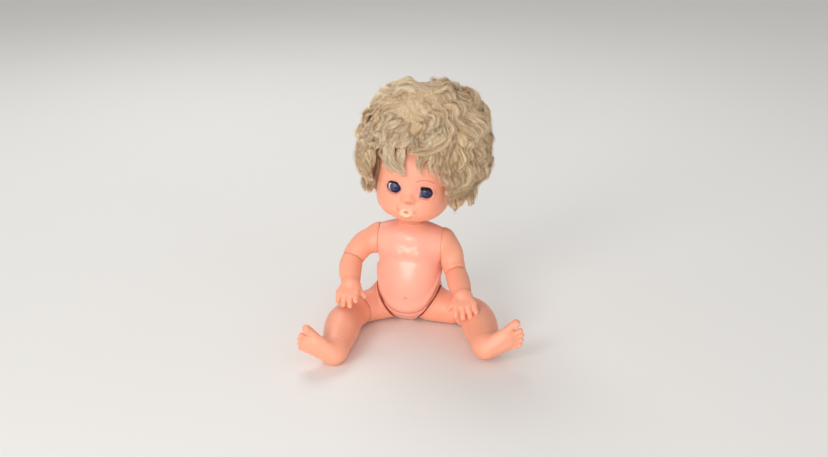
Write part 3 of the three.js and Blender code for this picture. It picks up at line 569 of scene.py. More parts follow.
def hand_shape(p, side, bends, curls):
    """The wrist at the middle, fingers towards -Y, the palm down."""
    p = (p[0] * side, *p[1:])
    d = egg(p, (0, 0, 0), (9, 9, 8.2))
    fingers = []
    for share, length, bend, curl in zip(FINGER_PLACES, FINGER_LENGTHS, bends, curls):
        fan, bend = math.radians(share * 14), math.radians(bend)
        root = np.array((share * PALM_HALF, -PALM_LENGTH * (0.86 - 0.22 * share * share), -0.4))
        wrist = np.array((share * 6.0, -2, -0.5))
        knuckle = root + np.array((0, 1.5, 0.6))
        d = union(d, tube(p, np.array([wrist, knuckle]), (5.6, 4.1)), 2.5)
        ahead = np.array((math.sin(fan), -math.cos(fan) * math.cos(bend), -math.sin(bend)))
        fingers.append((finger_points(root, ahead, curl, length), share))
    # The thumb, and then the fingers over the palm.
    base, thumb = np.array((-PALM_HALF * 0.5, -4.0, -1.5)), np.array((-0.8, -0.62, -0.35))
    root = np.array((-PALM_HALF * 0.66, -PALM_LENGTH * 0.3, -1))
    d = union(d, tube(p, np.array([base, root]), (5.4, 4.2)), 2.5)
    line = finger_points(root, thumb, 10, 11)
    d = union(d, tube(p, line, (3.4, 2.9, 2.8, 2.7)), 1.6)
    nails = [(line, 2.7)]
    for line, share in fingers:
        d = union(d, tube(p, line, [FINGER + more for more in (0.5, 0.3, 0.05, -0.3)]), 1.3)
        nails.append((line, FINGER - 0.1))
    for line, radius in nails:
        ahead = unit(line[-1] - line[-2])
        up = unit(np.array((0, 0, 1.0)) - ahead * ahead[2])
        nail = egg(p, line[-1] + up * (radius + 0.35) + ahead * 0.2, (1.5, 1.7, 0.8))
        d = cut(d, nail, 0.3)
    # Dimples over the knuckles.
    for share in FINGER_PLACES:
        at = (share * PALM_HALF, -PALM_LENGTH * (0.84 - 0.22 * share * share), 3.9)
        d = d + 0.5 * bump(far2(p, at), 1.0)
    return d


def arm_shape(p, side):
    """An arm with its hand. The elbow's crease is deepest on the inside of the bend."""
    spec = ARMS[side]
    line = line_through(spec["line"], ARM_STEPS)
    radii = smooth(ARM_RADII, np.linspace(0, 1, ARM_STEPS))
    d, along = tube(p, line, radii, share=True)
    middle = line[ARM_STEPS // 2]
    inside = part(0.5 + plane(p, middle, (line[0] + line[-1] - 2 * middle) / 20))
    d = d + 1.3 * bump((along - ELBOW) ** 2, 0.017) * (0.35 + 0.65 * inside)
    d = d + 0.9 * bump((along - WRIST) ** 2, 0.012)
    hand = place(spec["line"][-1], *spec["turn"])
    d = union(d, hand_shape(into(hand, p), side, spec["bends"], spec["curls"]), 2.2)
    face, axis = on_ground(SHOULDERS[side])
    cap, inner = limb_cap(p, face, axis, SHOULDER_RADIUS, 13)
    return meet(union(d, cap, 6), inner, 0.35)


def limb_crease_shade(line, places, widths, strengths):
    """A function for the painted shade in a limb's creases, which lie at places along its line."""
    def fold(q):
        best = np.full(len(q), 1e9)
        along = np.zeros(len(q))
        for i in range(len(line) - 1):
            a, v = line[i], line[i + 1] - line[i]
            t = part((q - a) @ v / (v @ v))
            d = np.linalg.norm(q - a - t[:, None] * v, axis=1)
            closer = d < best
            best = np.where(closer, d, best)
            along = np.where(closer, (i + t) / (len(line) - 1), along)
        creases = zip(places, widths, strengths)
        return part(sum(s * bump((along - at) ** 2, w) for at, w, s in creases))
    return fold


for side in SIDES:
    spec = ARMS[side]
    ends = np.array(spec["line"])
    lo = np.minimum(ends.min(0) - 20, ends[-1] - (26, 30, 24))
    hi = ends.max(0) + 19
    hi[1] = 19
    shape = lambda p, s=side: arm_shape(p, s)
    made, local = sculpt(f"{WORD[side]}_arm_skin", lo, hi, VOXEL["arm"], shape, GROUND, skin)
    line = line_through(spec["line"], ARM_STEPS)
    # Painted shade in the elbow's and the wrist's creases.
    attribute(made, "fold", limb_crease_shade(line, (ELBOW, WRIST), (0.014, 0.01), (0.55, 0.4))(local))
    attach(made, f"{WORD[side]}_arm")
    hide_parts(f"{WORD[side]}_arm")


LEG_RADII = [
    (0, 18.4), (0.1, 17.6), (0.2, 16.9), (0.27, 15.8), (0.34, 16.6), (0.42, 16.4), (0.55, 18),
    (0.7, 18.4), (0.85, 16.4), (1, 14),
]
LEG_STEPS, KNEE = 34, 0.285  # the knee's crease, as a share of the leg
# Each leg's line from the hip to the ankle, and the way its toes point from the shin.
LEGS = {
    1: dict(
        line=[(24, -7, 19.4), (42.5, -11.5, 17.6), (57.5, -17.5, 17), (67, -30, 19.6),
              (71.5, -47, 20), (74, -66, 19.6), (76, -84, 18.4), (77, -96, 17.6)],
        toes=(0.85, 0, 0.52),
    ),
    -1: dict(
        line=[(-24, 0, 19.4), (-42, -7, 17.6), (-54, -18, 17), (-62.5, -35, 18), (-67.5, -52, 18.6),
              (-69.2, -68, 17.8), (-71.6, -84, 15.4), (-73.5, -98, 12.9)],
        toes=(-0.77, 0, 0.58),
    ),
}
ANKLE_HEIGHT, FOOT_SCALE = 19, 51 / 58
TOES = [  # across, forward, radius, length, splay in degrees
    (9.0, 35.5, 4.3, 9.6, 9), (1.6, 38.5, 2.9, 6.4, 2), (-3.0, 37.6, 2.7, 5.8, -1),
    (-7.2, 35.3, 2.5, 5.0, -5), (-10.6, 32, 2.3, 4.4, -9),
]


def foot_frame(side):
    """The foot's place: the sole across the shin, below the ankle."""
    points = np.array(LEGS[side]["line"], float)
    shin = unit(points[-1] - points[-3])
    top, toes = -shin, np.array(LEGS[side]["toes"], float)
    ahead = unit(toes - top * (toes @ top))
    m = np.eye(4)
    m[:3, 0], m[:3, 1], m[:3, 2] = ahead, np.cross(top, ahead), top
    m[:3, 3] = points[-1] + shin * ANKLE_HEIGHT - ahead
    return m


def foot_shape(p, side):
    """Sole at Z 0, toes towards +X, big toe on the side of the other leg."""
    p = (p[0], p[1] * -side, p[2])
    k = FOOT_SCALE
    d = egg(p, (-0.2 * k, 0, 10.2), (9.7, 9.4, 10.2))
    d = union(d, tube(p, np.array([(1.0, 0, 19), (1.5, 0, 12)]), (10.3, 9.6)), 3)
    instep = np.array([(2.0, 0.3, 13), (14 * k, 0.8, 8.6), (27 * k, 1.4, 6.3)])
    d = union(d, tube(p, instep, (9.4, 8.2, 6.2)), 5)
    d = union(d, egg(p, (25 * k, 0.2, 5.9), (13.5, 12.6, 5.9)), 4)
    d = union(d, egg(p, (13 * k, 0.4, 7.2), (15, 11.2, 7.2)), 4)
    arch = egg(p, (14 * k, 10.5, -4.2), (10, 7, 5.0))
    d = cut(d, arch, 4)
    for across, forward, radius, length, splay in TOES:
        root = np.array((forward * k - 3.5, across, radius + 1.6))
        ahead = np.array((math.cos(math.radians(splay)), math.sin(math.radians(splay)), 0.05))
        mid = root + ahead * (length * 0.55 + 2.2)
        tip = mid + (ahead + np.array((0, 0, -0.28))) * (length * 0.45)
        radii = (radius * 0.95, radius * 0.92, radius)
        d = union(d, tube(p, np.array([root, mid, tip]), radii), 0.8)
        nail = egg(p, tip + np.array((0.2, 0, radius + 0.2)), (radius * 0.62, radius * 0.6, 0.8))
        d = cut(d, nail, 0.3)
    return np.maximum(d, -p[2] - 0.3)


def leg_shape(p, side):
    """A leg with its foot, flat underneath."""
    line = line_through(LEGS[side]["line"], LEG_STEPS)
    radii = smooth(LEG_RADII, np.linspace(0, 1, LEG_STEPS))
    d, along = tube(p, line, radii, share=True)
    d = d + 2.0 * bump((along - KNEE) ** 2, 0.011)
    q = into(foot_frame(side), p)
    d = union(d, foot_shape(q, side), 7)
    d = d + 0.5 * bump((q[2] - 17 - 0.25 * q[0]) ** 2, 1.6) * part(q[0] / 6)
    face, axis = on_ground(HIPS[side])
    cap, inner = limb_cap(p, face, axis, HIP_RADIUS, 15)
    d = union(d, cap, 5)
    d = meet(d - bump(inner**2, 1.3), inner, 0.1)
    return np.maximum(d, -p[2])


for side in SIDES:
    low, high = (np.array(c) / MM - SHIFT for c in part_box(f"{WORD[side]}_leg"))
    shape = lambda p, s=side: leg_shape(p, s)
    lo, hi = low - 5, high + 5
    made, local = sculpt(f"{WORD[side]}_leg_skin", lo, hi, VOXEL["leg"], shape, GROUND, skin, 2)
    line = line_through(LEGS[side]["line"], LEG_STEPS)
    # Painted shade in the knee's crease.
    attribute(made, "fold", limb_crease_shade(line, (KNEE,), (0.011,), (0.75,))(local))
    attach(made, f"{WORD[side]}_leg")
    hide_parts(f"{WORD[side]}_leg")


# ---- head

HEAD_ROWS = [
    (-58, 0.34, 0.30, 0.33), (-53, 0.36, 0.31, 0.35), (-48, 0.40, 0.36, 0.39),
    (-44.5, 0.52, 0.54, 0.45), (-41, 0.70, 0.80, 0.53), (-35, 0.88, 0.94, 0.64),
    (-26, 0.98, 0.98, 0.77), (-14, 1, 1, 0.9), (0, 1, 1, 0.99), (14, 1, 1, 1),
    (28, 0.92, 0.9, 0.93), (40, 0.72, 0.7, 0.73), (48, 0.44, 0.43, 0.45), (52, 0.12, 0.12, 0.12),
]
HEAD_SIZES = (38.5, 41.5, 44)
MOUTH = (1.5, -43.2, -30.8)
ROUND_MOUTH = np.linspace(0, 2 * math.pi, 33)
LIP_ACROSS, LIP_UP = 5.2 * np.cos(ROUND_MOUTH), np.sin(ROUND_MOUTH)
LIP_BOW = 0.8 * np.exp(-((ROUND_MOUTH - math.pi / 2) ** 2) / 0.08)
LIP_LINE = np.stack([
    LIP_ACROSS, 0.05 * LIP_ACROSS**2,
    np.where(LIP_UP > 0, 1.7, 1.5) * LIP_UP + 0.055 * LIP_ACROSS**2 - LIP_BOW,
], 1) + MOUTH
LIP_RADII = 1.1 + 1.5 * part(-LIP_UP) ** 0.7
FACE_FORMS = [  # across, height, stretch in height, spread, how far out
    (22, -25, 1, 10, 2.8), (-22, -25, 1, 10, 2.8),  # cheeks
    (15.25, -7.5, 1, 7.5, -2.2), (-15.25, -7.5, 1, 7.5, -2.2),  # round the eyes
    (15, 3.5, 1.8, 8, 0.8), (-15, 3.5, 1.8, 8, 0.8),  # over the eyes
    (0, -39.5, 1, 6, 1.9), (0, 16, 1, 16, 1.6), (0, -31, 1, 7, 2.4),  # chin, forehead, mouth
]


def face_forms(x, z):
    """How far the face stands out of the plain head."""
    return sum(out * bump((x - a) ** 2 + ((z - c) * k) ** 2, s) for a, c, k, s, out in FACE_FORMS)


def head_form(p):
    """The head without its features."""
    x, y, z = p
    facing = part((-y - 8) / 18)
    facing = facing * facing * (3 - 2 * facing)
    return level_form((x, y + facing * face_forms(x, z), z), HEAD_ROWS, HEAD_SIZES, 2.4)


# How far out each eye's opening lies, its half width and half height.
OPENING = {1: (2.2, 5.6, 5.0), -1: (0.9, 6.9, 4.8)}


def eye_ring(q, side):
    """1 on the edge of the eye's opening, less inside it."""
    out, half, tall = OPENING[side]
    return np.sqrt(((q[0] - out) / half) ** 2 + (q[2] / tall) ** 2)


def head_shape(p):
    x, y, z = p
    d = plain = head_form(p)
    front = part((-y - 20) / 10)
    # Nose: a soft button.
    bridge = np.array([(0, -37.4, -2), (0.6, -38.8, -8.5), (1.2, -40.9, -14)])
    nose = tube(p, bridge, (2.0, 2.8, 3.9))
    nose = union(nose, egg(p, (1.3, -42.0, -15.2), (4.2, 3.9, 3.5)), 3)
    for side in SIDES:
        nose = union(nose, egg(p, (1.3 + side * 4.0, -40.6, -16.2), (2.1, 2.6, 2.0)), 2.4)
    d = union(d, nose, 4.6)
    d = d + front * 0.6 * bump((z + 20.0 - 0.05 * (x - 1.3) ** 2) ** 2 + 0.12 * (x - 1.3) ** 2, 1.0)
    # Mouth: a ring of lips, full below, round a small hollow, with dimples at its corners.
    d = union(d, tube(p, LIP_LINE, LIP_RADII), 1.2)
    d = cut(d, egg(p, (MOUTH[0], -45.5, -28.9), (3.2, 4.0, 0.6)), 0.8)
    for side in SIDES:
        d = d + front * 1.3 * bump((x - 1.2 - side * 9.2) ** 2 + (z + 29.0) ** 2, 1.5)
        line = side * (9.8 - 0.12 * (z + 26) ** 2)
        d = d + front * 0.45 * bump((x - 1.2 - line) ** 2 + 0.08 * (z + 27) ** 2, 1.1)
    d = d + front * 0.9 * bump((z + 37.0 - 0.03 * x * x) ** 2 + 0.06 * x * x, 1.3)
    d = d + front * 0.35 * bump(x * x + 0.2 * (z + 23.5) ** 2, 1.1)
    # Ears
    for side in SIDES:
        q = into(place((side * 37.2, 3, -10), z=side * 18), p)
        ear = egg(q, (side * 1.0, 0, 0), (3.6, 6.2, 9.2))
        ear = cut(ear, egg(q, (side * 4.6, -1.2, 0.5), (3.0, 3.4, 5.8)), 1.2)
        d = union(d, ear, 2)
    # Eyelids, the openings and the room that the eyes turn in.
    chamber = np.maximum(plain + 3, egg(p, (0, -21, -14), (31, 23, 22)))
    for side in SIDES:
        q = into(EYE_IN_HEAD[side], p)
        ring = eye_ring(q, side)
        ahead = part((-q[1] - 3) / 3)
        roll = np.exp(-(((ring - 1.22) / 0.2) ** 2)) * (1 + 0.5 * np.clip(q[2] / 5, -1, 1))
        d = d - ahead * roll
        crease = np.sqrt(q[0] ** 2 + ((q[2] + 1.5) * 1.05) ** 2)
        d = d + ahead * 0.7 * bump((crease - 9.6) ** 2, 0.7) * part(q[2] / 4 - 0.6)
        throat = (ring - 1) * 5.1 - np.clip((-q[1] - 7.2) * 0.62, 0, 3.2)
        d = cut(d, np.sqrt(far2(q, (0, 0, 0))) - (EYE_RADIUS + 0.55))
        housing = rod(q, (0, 0, 0), (0, 1, 0), 10.15, -4.65, 20)
        d = cut(d, np.maximum(housing, plain + 1.5))
        angle = np.degrees(np.arctan2(q[2], -q[1] + 1e-6))
        reach = np.sqrt(q[1] ** 2 + q[2] ** 2)
        sweep = np.maximum(np.maximum(reach - 13, 7 - reach), np.abs(q[0]) - 5.0)
        sweep = np.maximum(sweep, np.maximum(angle - 36, -31 - angle) * 0.14)
        opening = np.maximum(union(throat, sweep, 1.6), q[1] + 2)
        d = cut(d, opening, 0.6)
    d = cut(d, chamber)
    # Room for the neck post and its rim, and the neck's flat edge.
    t = into(np.linalg.inv(HEAD_IN_TORSO), p)
    for radius, low, high in ((13.5, 3.6, 15), (10.5, -20, 9)):
        d = cut(d, rod(t, (0, 0, RIM_BOTTOM), (0, 0, 1), radius, low, high))
    return meet(d, RIM_BOTTOM - t[2], 0.4)


def paint_face(n, base):
    """Lips, brows and blush, and painted shade under the hair, the chin, the nose and in the mouth's
    hollow, painted by place on the face, in the head's own frame.
    """
    at = n.new("SeparateXYZ")
    n.link(n.read("face").outputs["Vector"], at.inputs[0])
    x, y, z = at.outputs
    ahead = n.math("MULTIPLY_ADD", y, -0.2, -5.0, clamp=True)
    across = n.math("ABSOLUTE", x)

    def spot(cx, cz, wide, high, edge, middle=None):
        sideways = across if middle is None else n.math("SUBTRACT", x, middle)
        a = n.math("DIVIDE", n.math("SUBTRACT", sideways, cx), wide)
        b = n.math("DIVIDE", n.math("SUBTRACT", z, cz), high)
        far = n.math("SQRT", n.math("ADD", n.math("MULTIPLY", a, a), n.math("MULTIPLY", b, b)))
        soft = n.math("MULTIPLY_ADD", far, -1 / edge, 1 / edge + 0.5, clamp=True)
        return n.math("MULTIPLY", soft, ahead)

    def fade(value, slope, rest):
        return n.math("MULTIPLY_ADD", value, slope, rest, clamp=True)

    # Lips with a bare middle, and a brow: a thin arc over each eye, fainter at one side.
    middle = MOUTH[0]
    parting = n.math("MULTIPLY", spot(0, -27.2, 2.6, 1.8, 0.7, middle), 0.8)
    lips = n.math("SUBTRACT", spot(0, -30.6, 7.4, 4.3, 0.2, middle), parting, clamp=True)
    a = n.math("SUBTRACT", across, 15.5)
    b = n.math("SUBTRACT", z, -6.8)
    far = n.math("SQRT", n.math("ADD", n.math("MULTIPLY", a, a), n.math("MULTIPLY", b, b)))
    line = fade(n.math("ABSOLUTE", n.math("SUBTRACT", far, 13.9)), -2.0, 1.25)
    above = n.math("SUBTRACT", b, n.math("MULTIPLY", n.math("ABSOLUTE", a), 0.9))
    brow = n.math("MULTIPLY", line, fade(above, 0.3, -0.4))
    brow = n.math("MULTIPLY", brow, n.math("MULTIPLY", ahead, fade(x, 0.05, 0.62)))
    for mask, strength, colour in (
        (spot(23, -22, 15, 12, 1.0), 0.25, (0.94, 0.31, 0.22)),  # blush
        (spot(15.3, -4.5, 9.5, 8.0, 0.9), 0.42, (0.74, 0.30, 0.33)),  # round the eyes
        (fade(z, 0.05, -0.1), 0.5, (0.80, 0.31, 0.22)),  # painted shade on the upper face, under the hair
        (fade(z, -0.2, -8.6), 0.6, (0.62, 0.19, 0.10)),  # painted shade under the chin
        (spot(0, -18.6, 4.6, 2.4, 1.0, 2.6), 0.8, (0.70, 0.25, 0.13)),  # painted shade under the nose
        (lips, 0.9, (0.93, 0.60, 0.40)),
        (spot(0, -28.7, 2.8, 0.9, 0.9, middle), 0.75, (0.72, 0.33, 0.17)),  # painted shade in the mouth's hollow
        (n.read("rim").outputs["Fac"], 1.0, (0.14, 0.05, 0.035)),  # the edge of the eyelids
        (brow, 0.8, (0.40, 0.11, 0.07)),
    ):
        base = n.mix(n.math("MULTIPLY", mask, strength), base, colour)
    return base


face_skin = vinyl("face_vinyl", SKIN_COLOUR, SKIN_SHADE, 0.44, 900, paint_face)
lo, hi = (-44, -50, -58), (44, 46, 54)
made, local = sculpt("head_skin", lo, hi, VOXEL["head"], head_shape, HEAD, face_skin, 2)
attribute(made, "face", local)
x, y, z = local.T
front = part((-y - 20) / 10)
# fold is painted shade: darker round the eye openings, at the mouth's corners, beside the nose, under
# the lower lip and under the nose. rim is the dark edge of the eyelids.
fold, rim = np.zeros(len(local)), np.zeros(len(local))
for side in SIDES:
    q = carried(np.linalg.inv(EYE_IN_HEAD[side]), local)
    ring = eye_ring(q.T, side)
    near = (q[:, 1] < -2) & (q[:, 1] > -13)
    fold += 0.55 * near * np.exp(-(((ring - 1.05) / 0.16) ** 2))
    outer = part((1 - q[:, 0]) / 5) * (side < 0)
    strong = np.clip(0.5 + 0.5 * q[:, 2] / 4 + outer, 0.2, 1)
    rim += near * part((1.02 + 0.12 * outer - ring) / 0.08) * strong
    fold += 0.5 * front * bump((x - 1.2 - side * 9.0) ** 2 + (z + 29.4) ** 2, 1.5)
    fold += 0.3 * front * bump((x - 1.3 - side * 6.6) ** 2 + (z + 16.5) ** 2 * 0.4, 0.9)
fold += 0.3 * front * bump((z + 36.3 - 0.03 * x * x) ** 2 + 0.04 * x * x, 1.4)
fold += 0.3 * front * bump((z + 20.6) ** 2 + 0.08 * (x - 1.3) ** 2, 1.0)
attribute(made, "fold", part(fold))
attribute(made, "rim", part(rim))
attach(made, "head")
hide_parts("head")


# ---- eyes

def lathe(profile, around):
    """A closed shape turned about Y. The profile runs from the axis back to the axis."""
    rings = profile[1:-1]
    turn = np.linspace(0, 2 * math.pi, around, endpoint=False)
    points = [(0, profile[0][1], 0)]
    for radius, y in rings:
        points += [(radius * math.cos(t), y, radius * math.sin(t)) for t in turn]
    points.append((0, profile[-1][1], 0))
    faces = [[0, 1 + j, 1 + (j + 1) % around] for j in range(around)]
    for i in range(len(rings) - 1):
        a, b = 1 + i * around, 1 + (i + 1) * around
        faces += [[a + j, b + j, b + (j + 1) % around, a + (j + 1) % around] for j in range(around)]
    a, last = 1 + (len(rings) - 1) * around, len(points) - 1
    faces += [[last, a + (j + 1) % around, a + j] for j in range(around)]
    return np.array(points, float), faces


def outward(points, faces):
    """The faces, all turned over if they face inwards."""
    volume = 0
    for f in faces:
        for k in range(1, len(f) - 1):
            volume += float(np.dot(points[f[0]], np.cross(points[f[k]], points[f[k + 1]])))
    return faces if volume > 0 else [list(reversed(f)) for f in faces]


def eyeball_material():
    """Glossy white, with a lid of the skin's colour above the lashes."""
    n = Surface("eye_white_gloss", (0.86, 0.85, 0.84), 0.08, Coat_Weight=1.0, Coat_Roughness=0.03)
    tone = n.ramp(n.noise(300, 3, 0.6), [(0.3, (0.84, 0.83, 0.83)), (0.75, (0.93, 0.92, 0.9))])
    lid = n.read("lid").outputs["Fac"]
    n.give(
        Base_Color=n.mix(lid, tone, SKIN_COLOUR),
        Roughness=n.math("MULTIPLY_ADD", lid, 0.32, 0.08),
        Coat_Weight=n.math("MULTIPLY_ADD", lid, -1.0, 1.0),
        Subsurface_Weight=0.1, Subsurface_Scale=0.002,
    )
    return n.made


def iris_material():
    """Streaked blue round a dark pupil, with a darker rim."""
    n = Surface("iris_blue_gloss", (0.05, 0.09, 0.3), 0.36, Coat_Weight=0.15, Coat_Roughness=0.2)
    at = n.new("SeparateXYZ")
    n.link(n.read("iris").outputs["Vector"], at.inputs[0])
    x, _, z = at.outputs
    far = n.math("SQRT", n.math("ADD", n.math("MULTIPLY", x, x), n.math("MULTIPLY", z, z)))
    angle = n.math("ARCTAN2", z, x)
    spokes = n.new("CombineXYZ")
    n.link(n.math("MULTIPLY", angle, 4.5), spokes.inputs[0])
    n.link(n.math("MULTIPLY", far, 0.35), spokes.inputs[1])
    streak = n.noise(2.2, 4, 0.7, spokes.outputs[0])
    dark, mid, light = (0.012, 0.016, 0.06), (0.030, 0.045, 0.15), (0.08, 0.12, 0.30)
    blue = n.ramp(streak, [(0.3, dark), (0.52, mid), (0.78, light)])
    rim = n.math("MULTIPLY_ADD", far, 0.8, -4.0, clamp=True)
    blue = n.mix(rim, blue, (0.02, 0.014, 0.04))
    pupil = n.math("MULTIPLY_ADD", far, -1.6, 3.4, clamp=True)
    n.give(Base_Color=n.mix(pupil, blue, (0.005, 0.006, 0.022)))
    return n.made


def lash_material():
    n = Surface("lash_bristle", (0.02, 0.012, 0.01), 0.8, Specular_IOR_Level=0.2)
    dark, light = (0.012, 0.008, 0.007), (0.05, 0.03, 0.022)
    n.give(Base_Color=n.ramp(n.noise(900, 2), [(0.3, dark), (0.8, light)]))
    return n.made


def steel_material():
    n = Surface("dull_steel", (0.42, 0.42, 0.43), 0.4, Metallic=1.0)
    n.give(Roughness=n.ramp(n.noise(500, 4), [(0.3, 0.3), (0.8, 0.55)]))
    n.bump(n.noise(1200, 3), 0.2, 0.0001)
    return n.made


def strand_tubes(lines, radii, sides=3):
    """Closed thin tubes along many lines: lines is (count, steps, 3), radii (count, steps)."""
    count, steps, _ = lines.shape
    along = unit(np.gradient(lines, axis=1))
    side = unit(np.cross(along, np.array((0.31, 0.52, 0.79))))
    other = np.cross(along, side)
    turn = (np.arange(sides) * 2 * math.pi / sides)[:, None]
    ring = np.cos(turn) * side[:, :, None] + np.sin(turn) * other[:, :, None]
    points = lines[:, :, None] + ring * radii[:, :, None, None]
    base = np.arange(count)[:, None, None, None] * steps * sides
    i = np.arange(steps - 1)[None, :, None, None] * sides
    j = np.arange(sides)[None, None, :, None]
    nxt = (j + 1) % sides
    quads = np.concatenate([i + j, i + nxt, i + nxt + sides, i + j + sides], 3) + base
    start = np.arange(count)[:, None] * steps * sides
    around = np.arange(sides)[None]
    caps = np.concatenate([start + around[:, ::-1], start + (steps - 1) * sides + around])
    return points.reshape(-1, 3), quads.reshape(-1, 4), caps


def strand_object(name, lines, radii, material, tones, shares):
    """The strands as one object, which knows each one's tone and how far along it a point is."""
    points, quads, caps = strand_tubes(lines, radii)
    corners = np.concatenate([quads.ravel(), caps.ravel()])
    sizes = np.repeat((4, caps.shape[1]), (len(quads), len(caps)))
    made = mesh_object(name, points * MM, corners, sizes, material)
    count, steps, _ = lines.shape
    sides = len(points) // (count * steps)
    attribute(made, "tone", np.repeat(tones, steps * sides))
    attribute(made, "share", np.repeat(shares.reshape(-1), sides))
    return made


white, iris_blue = eyeball_material(), iris_material()
lash, steel = lash_material(), steel_material()
LASH_ANGLE, LASHES, LASH_ROOT = 33, 64, 7.7
LID_UP, LID_BACK = math.cos(math.radians(LASH_ANGLE)), math.sin(math.radians(LASH_ANGLE))
LENS_RADIUS, LENS_EDGE, LENS_BACK = 8.3, 6.0, -5.1
AROUND_EYE = 56
STRIP_RADII, STRIP_TOP, STRIP_LOW = (7.9, 8.42), 36, {1: 17, -1: 27}
GAZE = {1: 16, -1: 22}  # how far each eye looks aside, in degrees
for side in SIDES:
    word = WORD[side]
    eye = HEAD @ EYE_IN_HEAD[side]
    turns = np.linspace(0, math.pi, 41)
    profile = [(EYE_RADIUS * math.sin(t), -EYE_RADIUS * math.cos(t)) for t in turns]
    points, faces = lathe(profile, AROUND_EYE)
    faces = outward(points, faces)
    ball = make_object(f"{word}_eyeball_gloss", carried(eye, points) * MM, faces, white)
    above = points[:, 2] * LID_UP + points[:, 1] * LID_BACK
    attribute(ball, "lid", part(above / 0.4 + 0.5))
    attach(ball, f"{word}_eye")
    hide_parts(f"{word}_eyeball")
    gaze = place((0, 0, 0), x=3, z=GAZE[side])
    bulge = [(r, -math.sqrt(LENS_RADIUS**2 - r * r)) for r in np.linspace(0, LENS_EDGE - 0.3, 16)]
    rim = [(LENS_EDGE, LENS_BACK - 0.52), (LENS_EDGE - 0.2, LENS_BACK), (0, LENS_BACK)]
    points, faces = lathe(bulge + rim, AROUND_EYE)
    faces = outward(points, faces)
    dome = make_object(f"{word}_iris_lens", carried(eye @ gaze, points) * MM, faces, iris_blue)
    attribute(dome, "iris", points)
    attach(dome, f"{word}_eye")
    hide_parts(f"{word}_iris")
    rng = np.random.default_rng(40 + side)
    spread = np.radians(np.linspace(-32 if side > 0 else -25, 24, LASHES))
    spread = spread + rng.normal(0, 0.012, LASHES)
    steps = np.linspace(0, 1, 7)
    lines = []
    for a in spread:
        out = np.array((math.sin(a * 1.25), -math.cos(a * 1.25), 0))
        root = np.array((math.sin(a), -math.cos(a), 0)) * LASH_ROOT
        length = (4.6 - 1.5 * abs(a) / 0.44) * rng.uniform(0.8, 1.05)
        lift = 0.7 * steps[:, None] ** 2 + rng.normal(0, 0.16)
        lines.append(root + out * (length * steps[:, None]) + np.array((0, 0, 1)) * lift)
    lines = carried(eye @ place((0, 0, 0), x=-LASH_ANGLE), np.array(lines))
    radii = np.tile(0.17 * (1 - 0.75 * steps), (LASHES, 1))
    tones, shares = rng.uniform(0, 1, LASHES), np.tile(steps, (LASHES, 1))
    fringe = strand_object(f"{word}_lash_row", lines, radii, lash, tones, shares)
    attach(fringe, f"{word}_eye")
    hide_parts(f"{word}_eyelashes")
    # The dark strip that the lashes are set in: two layers of points, joined round the edge.
    turns = np.radians(np.linspace(-44, 44, 31))
    rises = np.radians(np.linspace(STRIP_LOW[side], STRIP_TOP, 6))
    rows = []
    for radius in STRIP_RADII:
        for t in turns:
            r = rises - 0.10 * (t / 0.77) ** 2
            aside, ahead = np.full_like(r, math.sin(t)), math.cos(t)
            rows.append(radius * np.stack([aside, -ahead * np.cos(r), ahead * np.sin(r)], 1))
    points = np.concatenate(rows)
    last_i, last_j = len(turns) - 1, len(rises) - 1
    corner = lambda layer, i, j: (layer * len(turns) + i) * len(rises) + j
    faces = []
    for i in range(last_i):
        for j in range(last_j):
            square = [(i, j), (i + 1, j), (i + 1, j + 1), (i, j + 1)]
            faces.append([corner(0, *at) for at in square])
            faces.append([corner(1, *at) for at in square[::-1]])
    edge = [(i, 0) for i in range(last_i)] + [(last_i, j) for j in range(last_j)]
    edge += [(i, last_j) for i in range(last_i, 0, -1)] + [(0, j) for j in range(last_j, 0, -1)]
    for a, b in zip(edge, edge[1:] + edge[:1]):
        faces.append([corner(0, *a), corner(1, *a), corner(1, *b), corner(0, *b)])
    faces = outward(points, faces)
    strip = make_object(f"{word}_lash_strip", carried(eye, points) * MM, faces, lash)
    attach(strip, f"{word}_eye")
    for node, kept_in in (("eye_axle", steel), ("eye_weight", steel), ("eye_housing", white)):
        kept = frame["nodes"][f"{word}_{node}"].data.materials
        kept.clear()
        kept.append(kept_in)


# ---- hair

HAIR_TOP, HAIR_WIDE, HAIR_FRONT, HAIR_BACK = 97, 67, 52, 58
HAIR_SIDE, HAIR_SWEEP, HAIR_LUMP = 3.5, 4, 3.6
HAIR_OUTLINE = [  # height, half width, front depth and back depth, as shares
    (-0.5, 0.38, 0.48, 0.5), (-0.41, 0.58, 0.6, 0.66), (-0.3, 0.73, 0.72, 0.8),
    (-0.15, 0.85, 0.84, 0.9), (0, 0.93, 0.94, 0.96), (0.2, 1, 1, 1), (0.4, 0.99, 0.98, 0.99),
    (0.58, 0.93, 0.9, 0.92), (0.74, 0.82, 0.76, 0.79), (0.87, 0.63, 0.57, 0.6),
    (0.96, 0.38, 0.34, 0.37), (1, 0.1, 0.1, 0.1),
]
LEFT_BOTTOM, RIGHT_BOTTOM, NAPE_BOTTOM = -21, -27, -38

# The outside of the hair at many levels from the top down, and the way down over it.
LEVELS = np.linspace(1, -0.5, 120)
LEVEL_WIDE, LEVEL_FRONT, LEVEL_BACK = (
    np.append(0, smooth([(row[0], row[k]) for row in HAIR_OUTLINE], LEVELS) * size)
    for k, size in ((1, HAIR_WIDE), (2, HAIR_FRONT), (3, HAIR_BACK))
)
LEVEL_HIGH = np.append(HAIR_TOP + 0.4, LEVELS * HAIR_TOP)
LEVEL_MEAN = (LEVEL_WIDE + LEVEL_BACK) / 2
LEVEL_ARC = np.append(0, np.cumsum(np.hypot(np.diff(LEVEL_MEAN), np.diff(LEVEL_HIGH))))
HAIR_ARC = LEVEL_ARC[-1]


